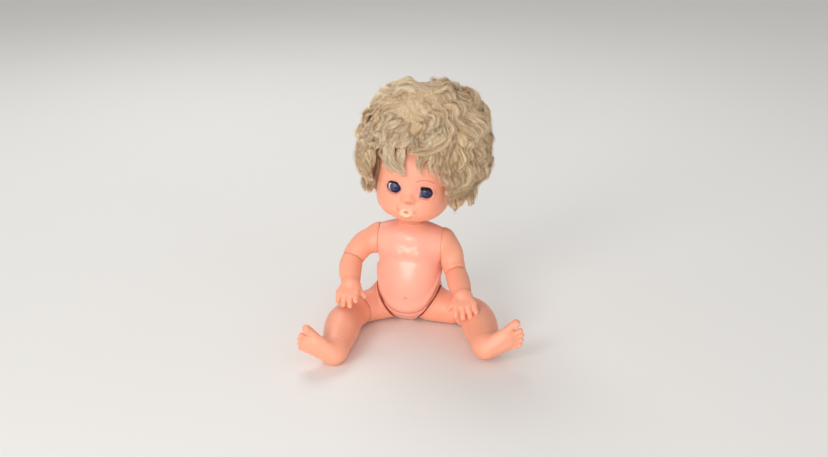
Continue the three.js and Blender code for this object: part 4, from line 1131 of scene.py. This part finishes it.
def hair_surface(turn, arc):
    """Places on the hair's outside, by the turn from the front and the arc down from the top."""
    levels = LEVEL_WIDE, LEVEL_FRONT, LEVEL_BACK, LEVEL_HIGH
    wide, front, back, high = (np.interp(arc, LEVEL_ARC, level) for level in levels)
    deep = np.where(np.cos(turn) > 0, front, back)
    sweep = HAIR_SWEEP * np.clip(high / HAIR_TOP, 0, None) ** 2
    return np.stack([wide * np.sin(turn) + HAIR_SIDE + sweep, -deep * np.cos(turn), high], -1)


def hair_frame(turn, arc):
    """The place, and the ways across, down and out of the hair."""
    p = hair_surface(turn, arc)
    across = unit(hair_surface(turn + 0.01, arc) - p)
    lower, upper = np.minimum(arc + 0.5, HAIR_ARC), np.maximum(arc - 0.5, 0)
    down = hair_surface(turn, lower) - hair_surface(turn, upper)
    down = unit(down - across * (down * across).sum(-1, keepdims=True))
    return p, across, down, np.cross(down, across)


def lumps(x, y, z):
    """The swell of the big curls, from about -1 to 1."""
    return (
        np.sin(0.115 * x + 0.05 * y + 0.6) * np.sin(0.13 * z + 0.05 * x + 1)
        + np.sin(0.15 * y - 0.06 * z + 0.09 * x) * np.cos(0.11 * z - 0.07 * y)
        + 0.6 * np.sin(0.24 * x + 0.5) * np.sin(0.22 * y + 0.19 * z)
    ) / 1.8


def curtain(x):
    """How low general hair comes over the front of the head."""
    return smooth([
        (-60, -30), (-44, -30), (-39, 24), (-34, 33), (-10, 35), (10, 35),
        (26, 32), (34, 14), (40, -10), (46, -30), (70, -30),
    ], x)


def hair_bottom(x, y):
    """How low the hair hangs at the sides and at the nape."""
    return np.where(y < 14, np.where(x > 0, LEFT_BOTTOM, RIGHT_BOTTOM), NAPE_BOTTOM)


def off_limits(p):
    """True where general hair may not hang."""
    x, y, z = np.moveaxis(p, -1, 0)
    return (z < hair_bottom(x, y)) | ((y < -4) & (z < curtain(x)))


def clear_of_head(p, gap):
    """Moves places that are in the head out of it."""
    for _ in range(3):
        depth = head_form(np.moveaxis(p, -1, 0))
        nearby = [head_form(np.moveaxis(p + step, -1, 0)) for step in 0.4 * np.eye(3)]
        out = unit(np.stack(nearby, -1) - depth[..., None])
        p = p + out * np.clip(gap - depth, 0, 6)[..., None]
    return p


def hair_base(p):
    """The undercoat, a few millimetres inside the strands, with the swell of the curls."""
    x, y, z = p
    q = (x - HAIR_SIDE - HAIR_SWEEP * part(z / HAIR_TOP) ** 2, y, z)
    rows = [(h * HAIR_TOP, w, f, b) for h, w, f, b in HAIR_OUTLINE]
    d = level_form(q, rows, (HAIR_WIDE, HAIR_FRONT, HAIR_BACK), 2.1) + 4.5
    d = d - HAIR_LUMP * lumps(x, y, z)
    d = d - 0.7 * np.sin(0.55 * x + 0.3 * y) * np.sin(0.5 * z + 0.2 * x + 0.25 * y)
    d = np.maximum(d, hair_bottom(x, y) + 5 - z)
    d = cut(d, np.maximum(y + 6, z - (curtain(x) + 7)), 3)
    return cut(d, head_form(p) - 0.35, 0.5)


# The main locks, as lines over the hair's outside in the head's frame.
MAIN_LOCKS = [
    [(-7, -21, 89), (-21, -19, 86), (-35, -16, 80), (-49, -10, 70), (-58, -5, 55),
     (-59, -15, 42), (-58, -22, 27)],
    [(-11, -28, 83), (-23, -27, 80), (-35, -25, 74), (-44, -25, 64), (-48, -28, 50),
     (-49, -33, 35), (-49, -33, 22)],
    [(-11, -33, 77), (-21, -33, 73), (-30, -35, 65), (-36, -37, 53), (-38, -39, 41),
     (-40, -40, 28)],
    [(-9, -38, 72), (-17, -40, 65), (-25, -42, 56), (-30, -43, 45), (-32, -44, 34)],
    [(-7, -42, 65), (-12, -44, 58), (-18, -46, 50), (-23, -46, 42), (-29, -45, 34)],
    [(-2, -45, 60), (-6, -47, 51), (-11, -49, 43), (-19, -48, 37)],
    [(-58, -22, 27), (-57, -20, 14), (-52, -25, 2), (-44, -28, -8), (-39, -31, -17)],
    [(-49, -33, 24), (-48, -32, 12), (-43, -34, 0), (-40, -32, -12)],
    [(-4, -8, 95), (-16, -9, 93), (-27, -9, 88), (-35, -12, 82)],
    [(1, -3, 97), (13, 6, 97), (25, 13, 93), (37, 10, 88), (47, -4, 83), (54, -13, 72)],
    [(-1, -19, 92), (14, -15, 94), (27, -15, 91), (39, -20, 84), (48, -24, 74), (54, -27, 61)],
    [(-3, -28, 85), (11, -27, 86), (24, -30, 82), (34, -33, 73), (42, -35, 63), (49, -35, 51),
     (55, -34, 39)],
    [(-5, -32, 80), (8, -36, 76), (18, -40, 69), (24, -43, 60), (25, -46, 50)],
    [(-5, -36, 75), (2, -41, 67), (9, -46, 59), (13, -48, 49)],
    [(54, -13, 75), (63, -11, 63), (68, -8, 47), (70, -8, 32), (68, -13, 18), (64, -15, 2),
     (53, -27, -8)],
    [(54, -27, 61), (60, -25, 48), (63, -26, 33), (60, -29, 18), (57, -28, 3), (49, -30, -8)],
    [(55, -34, 39), (54, -35, 24), (52, -35, 11), (49, -34, 0)],
]
FRINGE_LOCKS = [
    # To the doll's left of the gap
    [(23, -42, 63), (20, -44, 50), (13, -43, 38), (8, -43, 28), (6, -44, 20), (12, -45, 15)],
    [(30, -39, 60), (25, -40, 45), (20, -40, 32), (17, -41, 22), (21, -42, 14)],
    [(19, -43, 64), (16, -44, 50), (10, -43, 37), (6, -43, 29), (7, -44, 23)],
    [(35, -38, 57), (32, -37, 40), (29, -36, 28), (30, -37, 17), (34, -35, 9)],
    [(33, -39, 58), (29, -38, 42), (25, -38, 29), (23, -39, 20), (27, -38, 12)],
    [(41, -32, 51), (41, -30, 36), (40, -29, 22), (40, -26, 8), (42, -22, -6)],
    [(45, -26, 47), (46, -24, 30), (46, -22, 14), (46, -18, 0), (47, -15, -14)],
    [(27, -41, 62), (23, -43, 47), (16, -42, 35), (11, -42, 26), (13, -43, 18)],
    [(38, -35, 55), (36, -34, 38), (34, -33, 24), (35, -32, 12), (38, -28, 2)],
    # To the doll's right of it
    [(-18, -44, 52), (-22, -42, 38), (-23, -40, 27), (-17, -43, 18), (-9, -45, 13), (-4, -46, 9)],
    [(-21, -43, 49), (-26, -40, 35), (-27, -38, 24), (-21, -41, 17), (-14, -44, 11)],
    [(-12, -45, 53), (-14, -43, 39), (-15, -42, 27), (-10, -44, 20), (-5, -46, 13)],
    [(-9, -45, 55), (-10, -44, 41), (-11, -43, 29), (-8, -44, 21), (-5, -45, 16)],
    [(-26, -41, 48), (-30, -38, 33), (-31, -36, 22), (-26, -39, 15), (-19, -43, 10)],
]
WHORL = np.array((-4, -6, 96))
COMBED = [line_through(lock, 18) for lock in MAIN_LOCKS + FRINGE_LOCKS]
FLOW_AT = np.concatenate([line[:-1] for line in COMBED])
FLOW_WAY = unit(np.concatenate([np.diff(line, axis=0) for line in COMBED]))


def flow(p):
    """The way the hair is combed: along the main locks, and elsewhere away from the whorl."""
    d2 = ((p[:, None] - FLOW_AT[None]) ** 2).sum(2)
    away = unit(p - WHORL) + (0, 0, -0.5)
    return unit((1 / (d2 + 30) ** 2) @ FLOW_WAY + away * (2.5 / 500**2))


HOLLOWS = [  # place and spread
    ((36, -37, 47), 9), ((-8, -43, 60), 6), ((58, -24, 8), 9), ((12, -38, 78), 7),
    ((-44, -26, 14), 6),
]
GUIDES, GUIDE_STEPS, SHORTEST = 520, 34, 0.16


def hollows(p):
    """Where the hair lies deeper and takes painted shade, from 0 to 1."""
    return sum(bump(((p - at) ** 2).sum(-1), spread) for at, spread in HOLLOWS)


def grow_guides(rng, count):
    """Locks that leave the scalp, rise to the hair's outside and wave along its combing."""
    turn = rng.uniform(-math.pi, math.pi, count * 30)
    arc = rng.uniform(2, HAIR_ARC - 16, count * 30)
    keep = rng.uniform(0, 1, len(turn)) < np.interp(arc, LEVEL_ARC, LEVEL_MEAN) / LEVEL_MEAN.max()
    turn, arc = turn[keep], arc[keep]
    # Each next guide is the place that lies farthest from those chosen before it.
    spots = hair_surface(turn, arc)
    chosen, nearest = [0], np.full(len(spots), 1e9)
    for _ in range(count - 1):
        nearest = np.minimum(nearest, np.linalg.norm(spots - spots[chosen[-1]], axis=1))
        chosen.append(int(nearest.argmax()))
    turn, arc = turn[chosen], arc[chosen]
    length = rng.uniform(30, 54, count)
    amount = rng.uniform(0.6, 1.05, count)
    shift, hook = rng.normal(0, 0.6, count), rng.normal(0, 1.7, count)
    depth, flick = rng.uniform(-3.4, 1.4, count), rng.normal(-0.4, 1.6, count)
    root = -6 + 4 * bump(((hair_surface(turn, arc) - WHORL) ** 2).sum(1), 22)
    lines, sides, outs, bad = [], [], [], []
    for t in np.linspace(0, 1, GUIDE_STEPS):
        p, across, down, out = hair_frame(turn, arc)
        way = flow(p)
        combed = np.arctan2((way * across).sum(1), (way * down).sum(1))
        phase = 2 * math.pi * np.linalg.norm(p - WHORL, axis=1) / 21
        phase = phase + 2.6 * lumps(*(0.7 * p).T) + shift
        ang = combed + amount * (0.5 + 0.7 * t) * np.cos(phase) + hook * max(t - 0.75, 0) * 4
        rise = root * (1 - min(t / 0.3, 1)) ** 1.6 + depth + flick * max(t - 0.7, 0) * 3.3
        rise = rise + 2.4 * np.sin(phase + 0.6) + HAIR_LUMP * lumps(*p.T) - 2.4 * hollows(p)
        lines.append(p + out * rise[:, None])
        sides.append(across * np.cos(ang)[:, None] - down * np.sin(ang)[:, None])
        outs.append(out)
        bad.append(off_limits(p))
        step = length / (GUIDE_STEPS - 1)
        radius = np.maximum(np.interp(arc, LEVEL_ARC, LEVEL_MEAN), 12)
        turn = turn + step * np.sin(ang) / radius
        arc = arc + step * np.cos(ang)
        turn = np.where(arc < 0.5, turn + math.pi, turn)
        arc = np.clip(np.abs(arc), 0.5, HAIR_ARC - 0.5)
    lines, sides, outs, bad = (np.stack(v, 1) for v in (lines, sides, outs, bad))
    room = np.where(bad.any(1), bad.argmax(1), GUIDE_STEPS) / GUIDE_STEPS
    keep = room > SHORTEST
    return lines[keep], sides[keep], outs[keep], np.minimum(room[keep] * 1.03, 1)


def fringe_guides(rng, copies):
    """The locks over the forehead, each a few times side by side."""
    t = np.linspace(0, 1, GUIDE_STEPS)
    lines, sides, outs = [], [], []
    for lock in FRINGE_LOCKS:
        for _ in range(copies):
            waves, phase = rng.uniform(1.5, 2.4), rng.uniform(0, 2 * math.pi)
            line = line_through(lock, GUIDE_STEPS) + rng.normal(0, (1.7, 0.3, 2.0))
            phase = 2 * math.pi * waves * t + phase
            line[:, 0] += 1.9 * np.sin(phase) * (0.2 + t)
            line[:, 1] -= 1.6 + 0.9 * np.sin(phase + 1.4) + rng.uniform(-0.6, 1.0)
            line = clear_of_head(line, 1.5)
            along = unit(np.gradient(line, axis=0))
            away = line * (1, 1, 0.25)
            out = unit(away - along * (away * along).sum(1, keepdims=True))
            lines.append(line)
            sides.append(np.cross(along, out))
            outs.append(out)
    return np.array(lines), np.array(sides), np.array(outs), np.ones(len(lines))


STRAND_STEPS, STRAND_LENGTH = 13, 44


def strands_of(rng, guides, each, wide, thick, frizz):
    """Many strands round each guide: most keep to their lock, and a few stray from it."""
    lines, sides, outs, room = guides
    count = len(lines)
    which = np.repeat(np.arange(count), each)
    n = len(which)
    end = room[which] * rng.uniform(0.7, 1.0, n)
    begin = rng.uniform(0, 0.15, n)
    t = begin[:, None] + (end - begin)[:, None] * np.linspace(0, 1, STRAND_STEPS)
    at = t * (lines.shape[1] - 1)
    i = np.clip(at.astype(int), 0, lines.shape[1] - 2)
    f = (at - i)[..., None]
    pick = lambda v: v[which[:, None], i] * (1 - f) + v[which[:, None], i + 1] * f
    p, side, out = pick(lines), pick(sides), pick(outs)
    angle, far = rng.uniform(0, 2 * math.pi, n), np.sqrt(rng.uniform(0, 1, n))
    stray = rng.uniform(0, 1, n) < 0.13
    far = np.where(stray, far * 1.6, far)
    u, v = (far * np.cos(angle))[:, None], (far * np.sin(angle))[:, None]
    share = t / room[which][:, None]
    # Each lock is widest at its middle, and each strand waves on its own.
    size = 0.55 + 0.45 * np.sin(math.pi * part(share * 1.1)) - 0.4 * part(share - 0.6)
    size = size * rng.uniform(0.75, 1.3, count)[which][:, None]
    wave = rng.uniform(9, 17, n)[:, None]
    curl = frizz * (0.35 + 0.65 * share) * rng.uniform(0.5, 1.2, n)[:, None]
    curl = curl * np.where(stray, 3.0, 1.0)[:, None]
    turns = 2 * math.pi * t * STRAND_LENGTH / wave
    du = u * wide * size + curl * np.sin(turns + rng.uniform(0, 6.3, n)[:, None])
    dv = v * thick * size + 2.0 * (stray * rng.uniform(0, 1, n))[:, None] * share
    dv = dv + curl * 0.8 * np.sin(turns * 1.1 + rng.uniform(0, 6.3, n)[:, None])
    p = p + side * du[..., None] + out * dv[..., None]
    middle = lines[:, lines.shape[1] // 2]
    # Painted light and shade in each lock's tone: lighter on the swells and higher up, darker in the
    # hollows and low on the doll's left side.
    deep = 0.16 * lumps(*middle.T) - 0.5 * hollows(middle)
    deep = deep + 0.16 * np.clip((middle[:, 2] - 40) / 45, -1.2, 1)
    deep = deep - 0.3 * bump(((middle - (54, -18, 8)) ** 2).sum(-1), 24)
    streak = 0.5 + 0.5 * np.sin(5 * far * np.cos(angle) + rng.uniform(0, 6.3, count)[which])
    tone = (rng.uniform(0.1, 0.9, count) + deep)[which] * 0.4
    tone = tone + streak * 0.35 + rng.uniform(0, 1, n) * 0.25
    tone = part((tone - 0.5) * 1.6 + 0.5)
    return p, tone, share


def hair_material(name, dark, mid, light, roughness):
    """Fine soft fibre with painted shade towards its root, each strand with its own tone."""
    n = Surface(name, mid, roughness, Specular_IOR_Level=0.45, Specular_Tint=(1, 0.9, 0.74, 1))
    tone = n.ramp(n.read("tone").outputs["Fac"], [(0.0, dark), (0.5, mid), (1.0, light)])
    # Painted shade: each strand darkens towards its root.
    root = n.math("MULTIPLY_ADD", n.read("share").outputs["Fac"], -4.0, 1.0, clamp=True)
    n.give(
        Base_Color=n.mix(n.math("MULTIPLY", root, 0.4), tone, dark),
        Roughness=n.math("MULTIPLY_ADD", n.noise(700, 2), 0.2, roughness - 0.1),
    )
    return n.made


def undercoat_shade_material():
    """Darker fibre, painted shade between the strands, streaked downwards."""
    n = Surface("hair_undercoat_shade", (0.5, 0.36, 0.22), 0.7)
    stretched = n.new("Mapping")
    stretched.inputs["Scale"].default_value = (1, 1, 0.3)
    n.link(n.new("TexCoord").outputs["Object"], stretched.inputs["Vector"])
    streaks = n.noise(420, 4, 0.65, stretched.outputs[0])
    n.give(Base_Color=n.ramp(streaks, [(0.3, (0.42, 0.29, 0.17)), (0.7, (0.72, 0.54, 0.34))]))
    n.bump(streaks, 0.5, 0.002)
    return n.made


STRAW = ((0.54, 0.37, 0.21), (0.95, 0.72, 0.47), (1.0, 0.93, 0.74))
fibre = hair_material("hair_fibre", *STRAW, 0.34)
lo, hi = (-72, -62, -44), (86, 70, 104)
# The undercoat's dark colour stands in for the shade deep in the hair.
undercoat = undercoat_shade_material()
under, _ = sculpt("hair_undercoat_shade", lo, hi, VOXEL["hair"], hair_base, HEAD, undercoat, 2)
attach(under, "head")
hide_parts("hair_crown", "hair_fringe", "hair_left_side", "hair_right_side", "hair_back", "hair_nape")

EACH = 62  # strands round each guide
FRINGE_COPIES, FRINGE_EACH = 3, EACH // 2
CROWN_HEIGHT, FRONT_ANGLE, BACK_ANGLE = 62, 50, 120
# A lock's half width, half depth and frizz, and the radius of its strands.
LOCK, LOCK_STRAND = (4.4, 2.1, 0.55), 0.155
FRINGE_LOCK, FRINGE_STRAND = (2.6, 1.3, 0.45), 0.16
rng = np.random.default_rng(11)
guides = grow_guides(rng, GUIDES)
middle = guides[0][:, GUIDE_STEPS // 2 - 1]
side_of = np.degrees(np.arctan2(middle[:, 0] - HAIR_SIDE, -middle[:, 1]))
crown = middle[:, 2] > CROWN_HEIGHT
ahead, behind = np.abs(side_of) < FRONT_ANGLE, np.abs(side_of) >= BACK_ANGLE
beside = ~crown & ~ahead & ~behind
regions = {
    "crown": crown, "front": ~crown & ahead, "left": beside & (side_of > 0),
    "right": beside & (side_of < 0), "back": ~crown & behind,
}


def locks_object(region, lines, tones, shares, thickness):
    """One region's strands, clear of the head, as an object on it."""
    lines = clear_of_head(lines, 0.5)
    radii = thickness * (1 - 0.5 * part(shares) ** 2)
    placed = carried(HEAD, lines.reshape(-1, 3)).reshape(lines.shape)
    made = strand_object(f"hair_locks_{region}", placed, radii, fibre, tones, shares)
    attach(made, "head")


for region, chosen in regions.items():
    near = [g[chosen] for g in guides]
    locks_object(region, *strands_of(rng, near, EACH, *LOCK), LOCK_STRAND)
fringe = fringe_guides(rng, FRINGE_COPIES)
locks_object("fringe", *strands_of(rng, fringe, FRINGE_EACH, *FRINGE_LOCK), FRINGE_STRAND)


# ---- floor, light and camera

PALE = (0.9, 0.89, 0.87)
pale = Surface("floor_pale", PALE, 0.9)
stops = [(0.3, tuple(c * 0.99 for c in PALE)), (0.7, PALE)]
pale.give(Base_Color=pale.ramp(pale.noise(3, 2), stops))
floor_mesh = bpy.data.meshes.new("floor")
floor_mesh.from_pydata([(-6, -6, 0), (6, -6, 0), (6, 6, 0), (-6, 6, 0)], [], [(0, 1, 2, 3)])
floor = bpy.data.objects.new("floor", floor_mesh)
bpy.context.scene.collection.objects.link(floor)
floor.data.materials.append(pale.made)
floor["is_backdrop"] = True

scene = bpy.context.scene
scene.view_settings.view_transform = "Standard"
world = bpy.data.worlds.new("studio")
scene.world = world
world.use_nodes = True
tree = world.node_tree
# What lights the doll, and what the camera sees behind it.
background, shown = tree.nodes["Background"], tree.nodes.new("ShaderNodeBackground")
for node, colour, strength in ((background, (1.0, 0.98, 0.96), 0.5), (shown, PALE, 1.0)):
    node.inputs["Color"].default_value = (*colour, 1)
    node.inputs["Strength"].default_value = strength
paths, either = tree.nodes.new("ShaderNodeLightPath"), tree.nodes.new("ShaderNodeMixShader")
tree.links.new(paths.outputs["Is Camera Ray"], either.inputs[0])
tree.links.new(background.outputs[0], either.inputs[1])
tree.links.new(shown.outputs[0], either.inputs[2])
tree.links.new(either.outputs[0], tree.nodes["World Output"].inputs["Surface"])


def aimed(name, data, at, target):
    """A lamp or a camera that looks at the target."""
    made = bpy.data.objects.new(name, data)
    scene.collection.objects.link(made)
    made.location = at
    made.rotation_mode = "QUATERNION"
    made.rotation_quaternion = (Vector(target) - Vector(at)).to_track_quat("-Z", "Y")
    return made


LAMPS = [  # name, place, height of what it points at, diameter, power, colour
    ("key", (-0.95, -1.35, 0.98), 0.12, 0.8, 8.5, (1.0, 0.98, 0.95)),
    ("window", (-0.35, -1.65, 0.3), 0.1, 0.45, 11, (1.0, 0.98, 0.96)),
    ("fill", (1.2, -0.9, 0.9), 0.12, 1.2, 1.5, (0.95, 0.97, 1.0)),
    ("back", (-0.4, 1.1, 1.5), 0.2, 1.0, 9, (1, 1, 1)),
]
for name, at, height, size, power, colour in LAMPS:
    light = bpy.data.lights.new(name, "AREA")
    light.energy, light.size, light.color, light.shape = power, size, colour, "DISK"
    aimed(name, light, at, (0, 0, height))

# The camera: how far it looks down, its distance, and the picture's width and focus in pixels.
PITCH, DISTANCE, WIDTH_PIXELS, FOCUS_PIXELS = math.radians(21), 1060, 828, 1000
target = SHIFT + (5.5, 0, 104)
spot = target + DISTANCE * np.array((0, -math.cos(PITCH), math.sin(PITCH)))
camera_data = bpy.data.cameras.new("camera")
scene.camera = aimed("camera", camera_data, spot * MM, target * MM)
camera_data.sensor_width, camera_data.lens = 36, 36 * FOCUS_PIXELS / WIDTH_PIXELS
camera_data.clip_start, camera_data.clip_end = 0.01, 50

low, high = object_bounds()
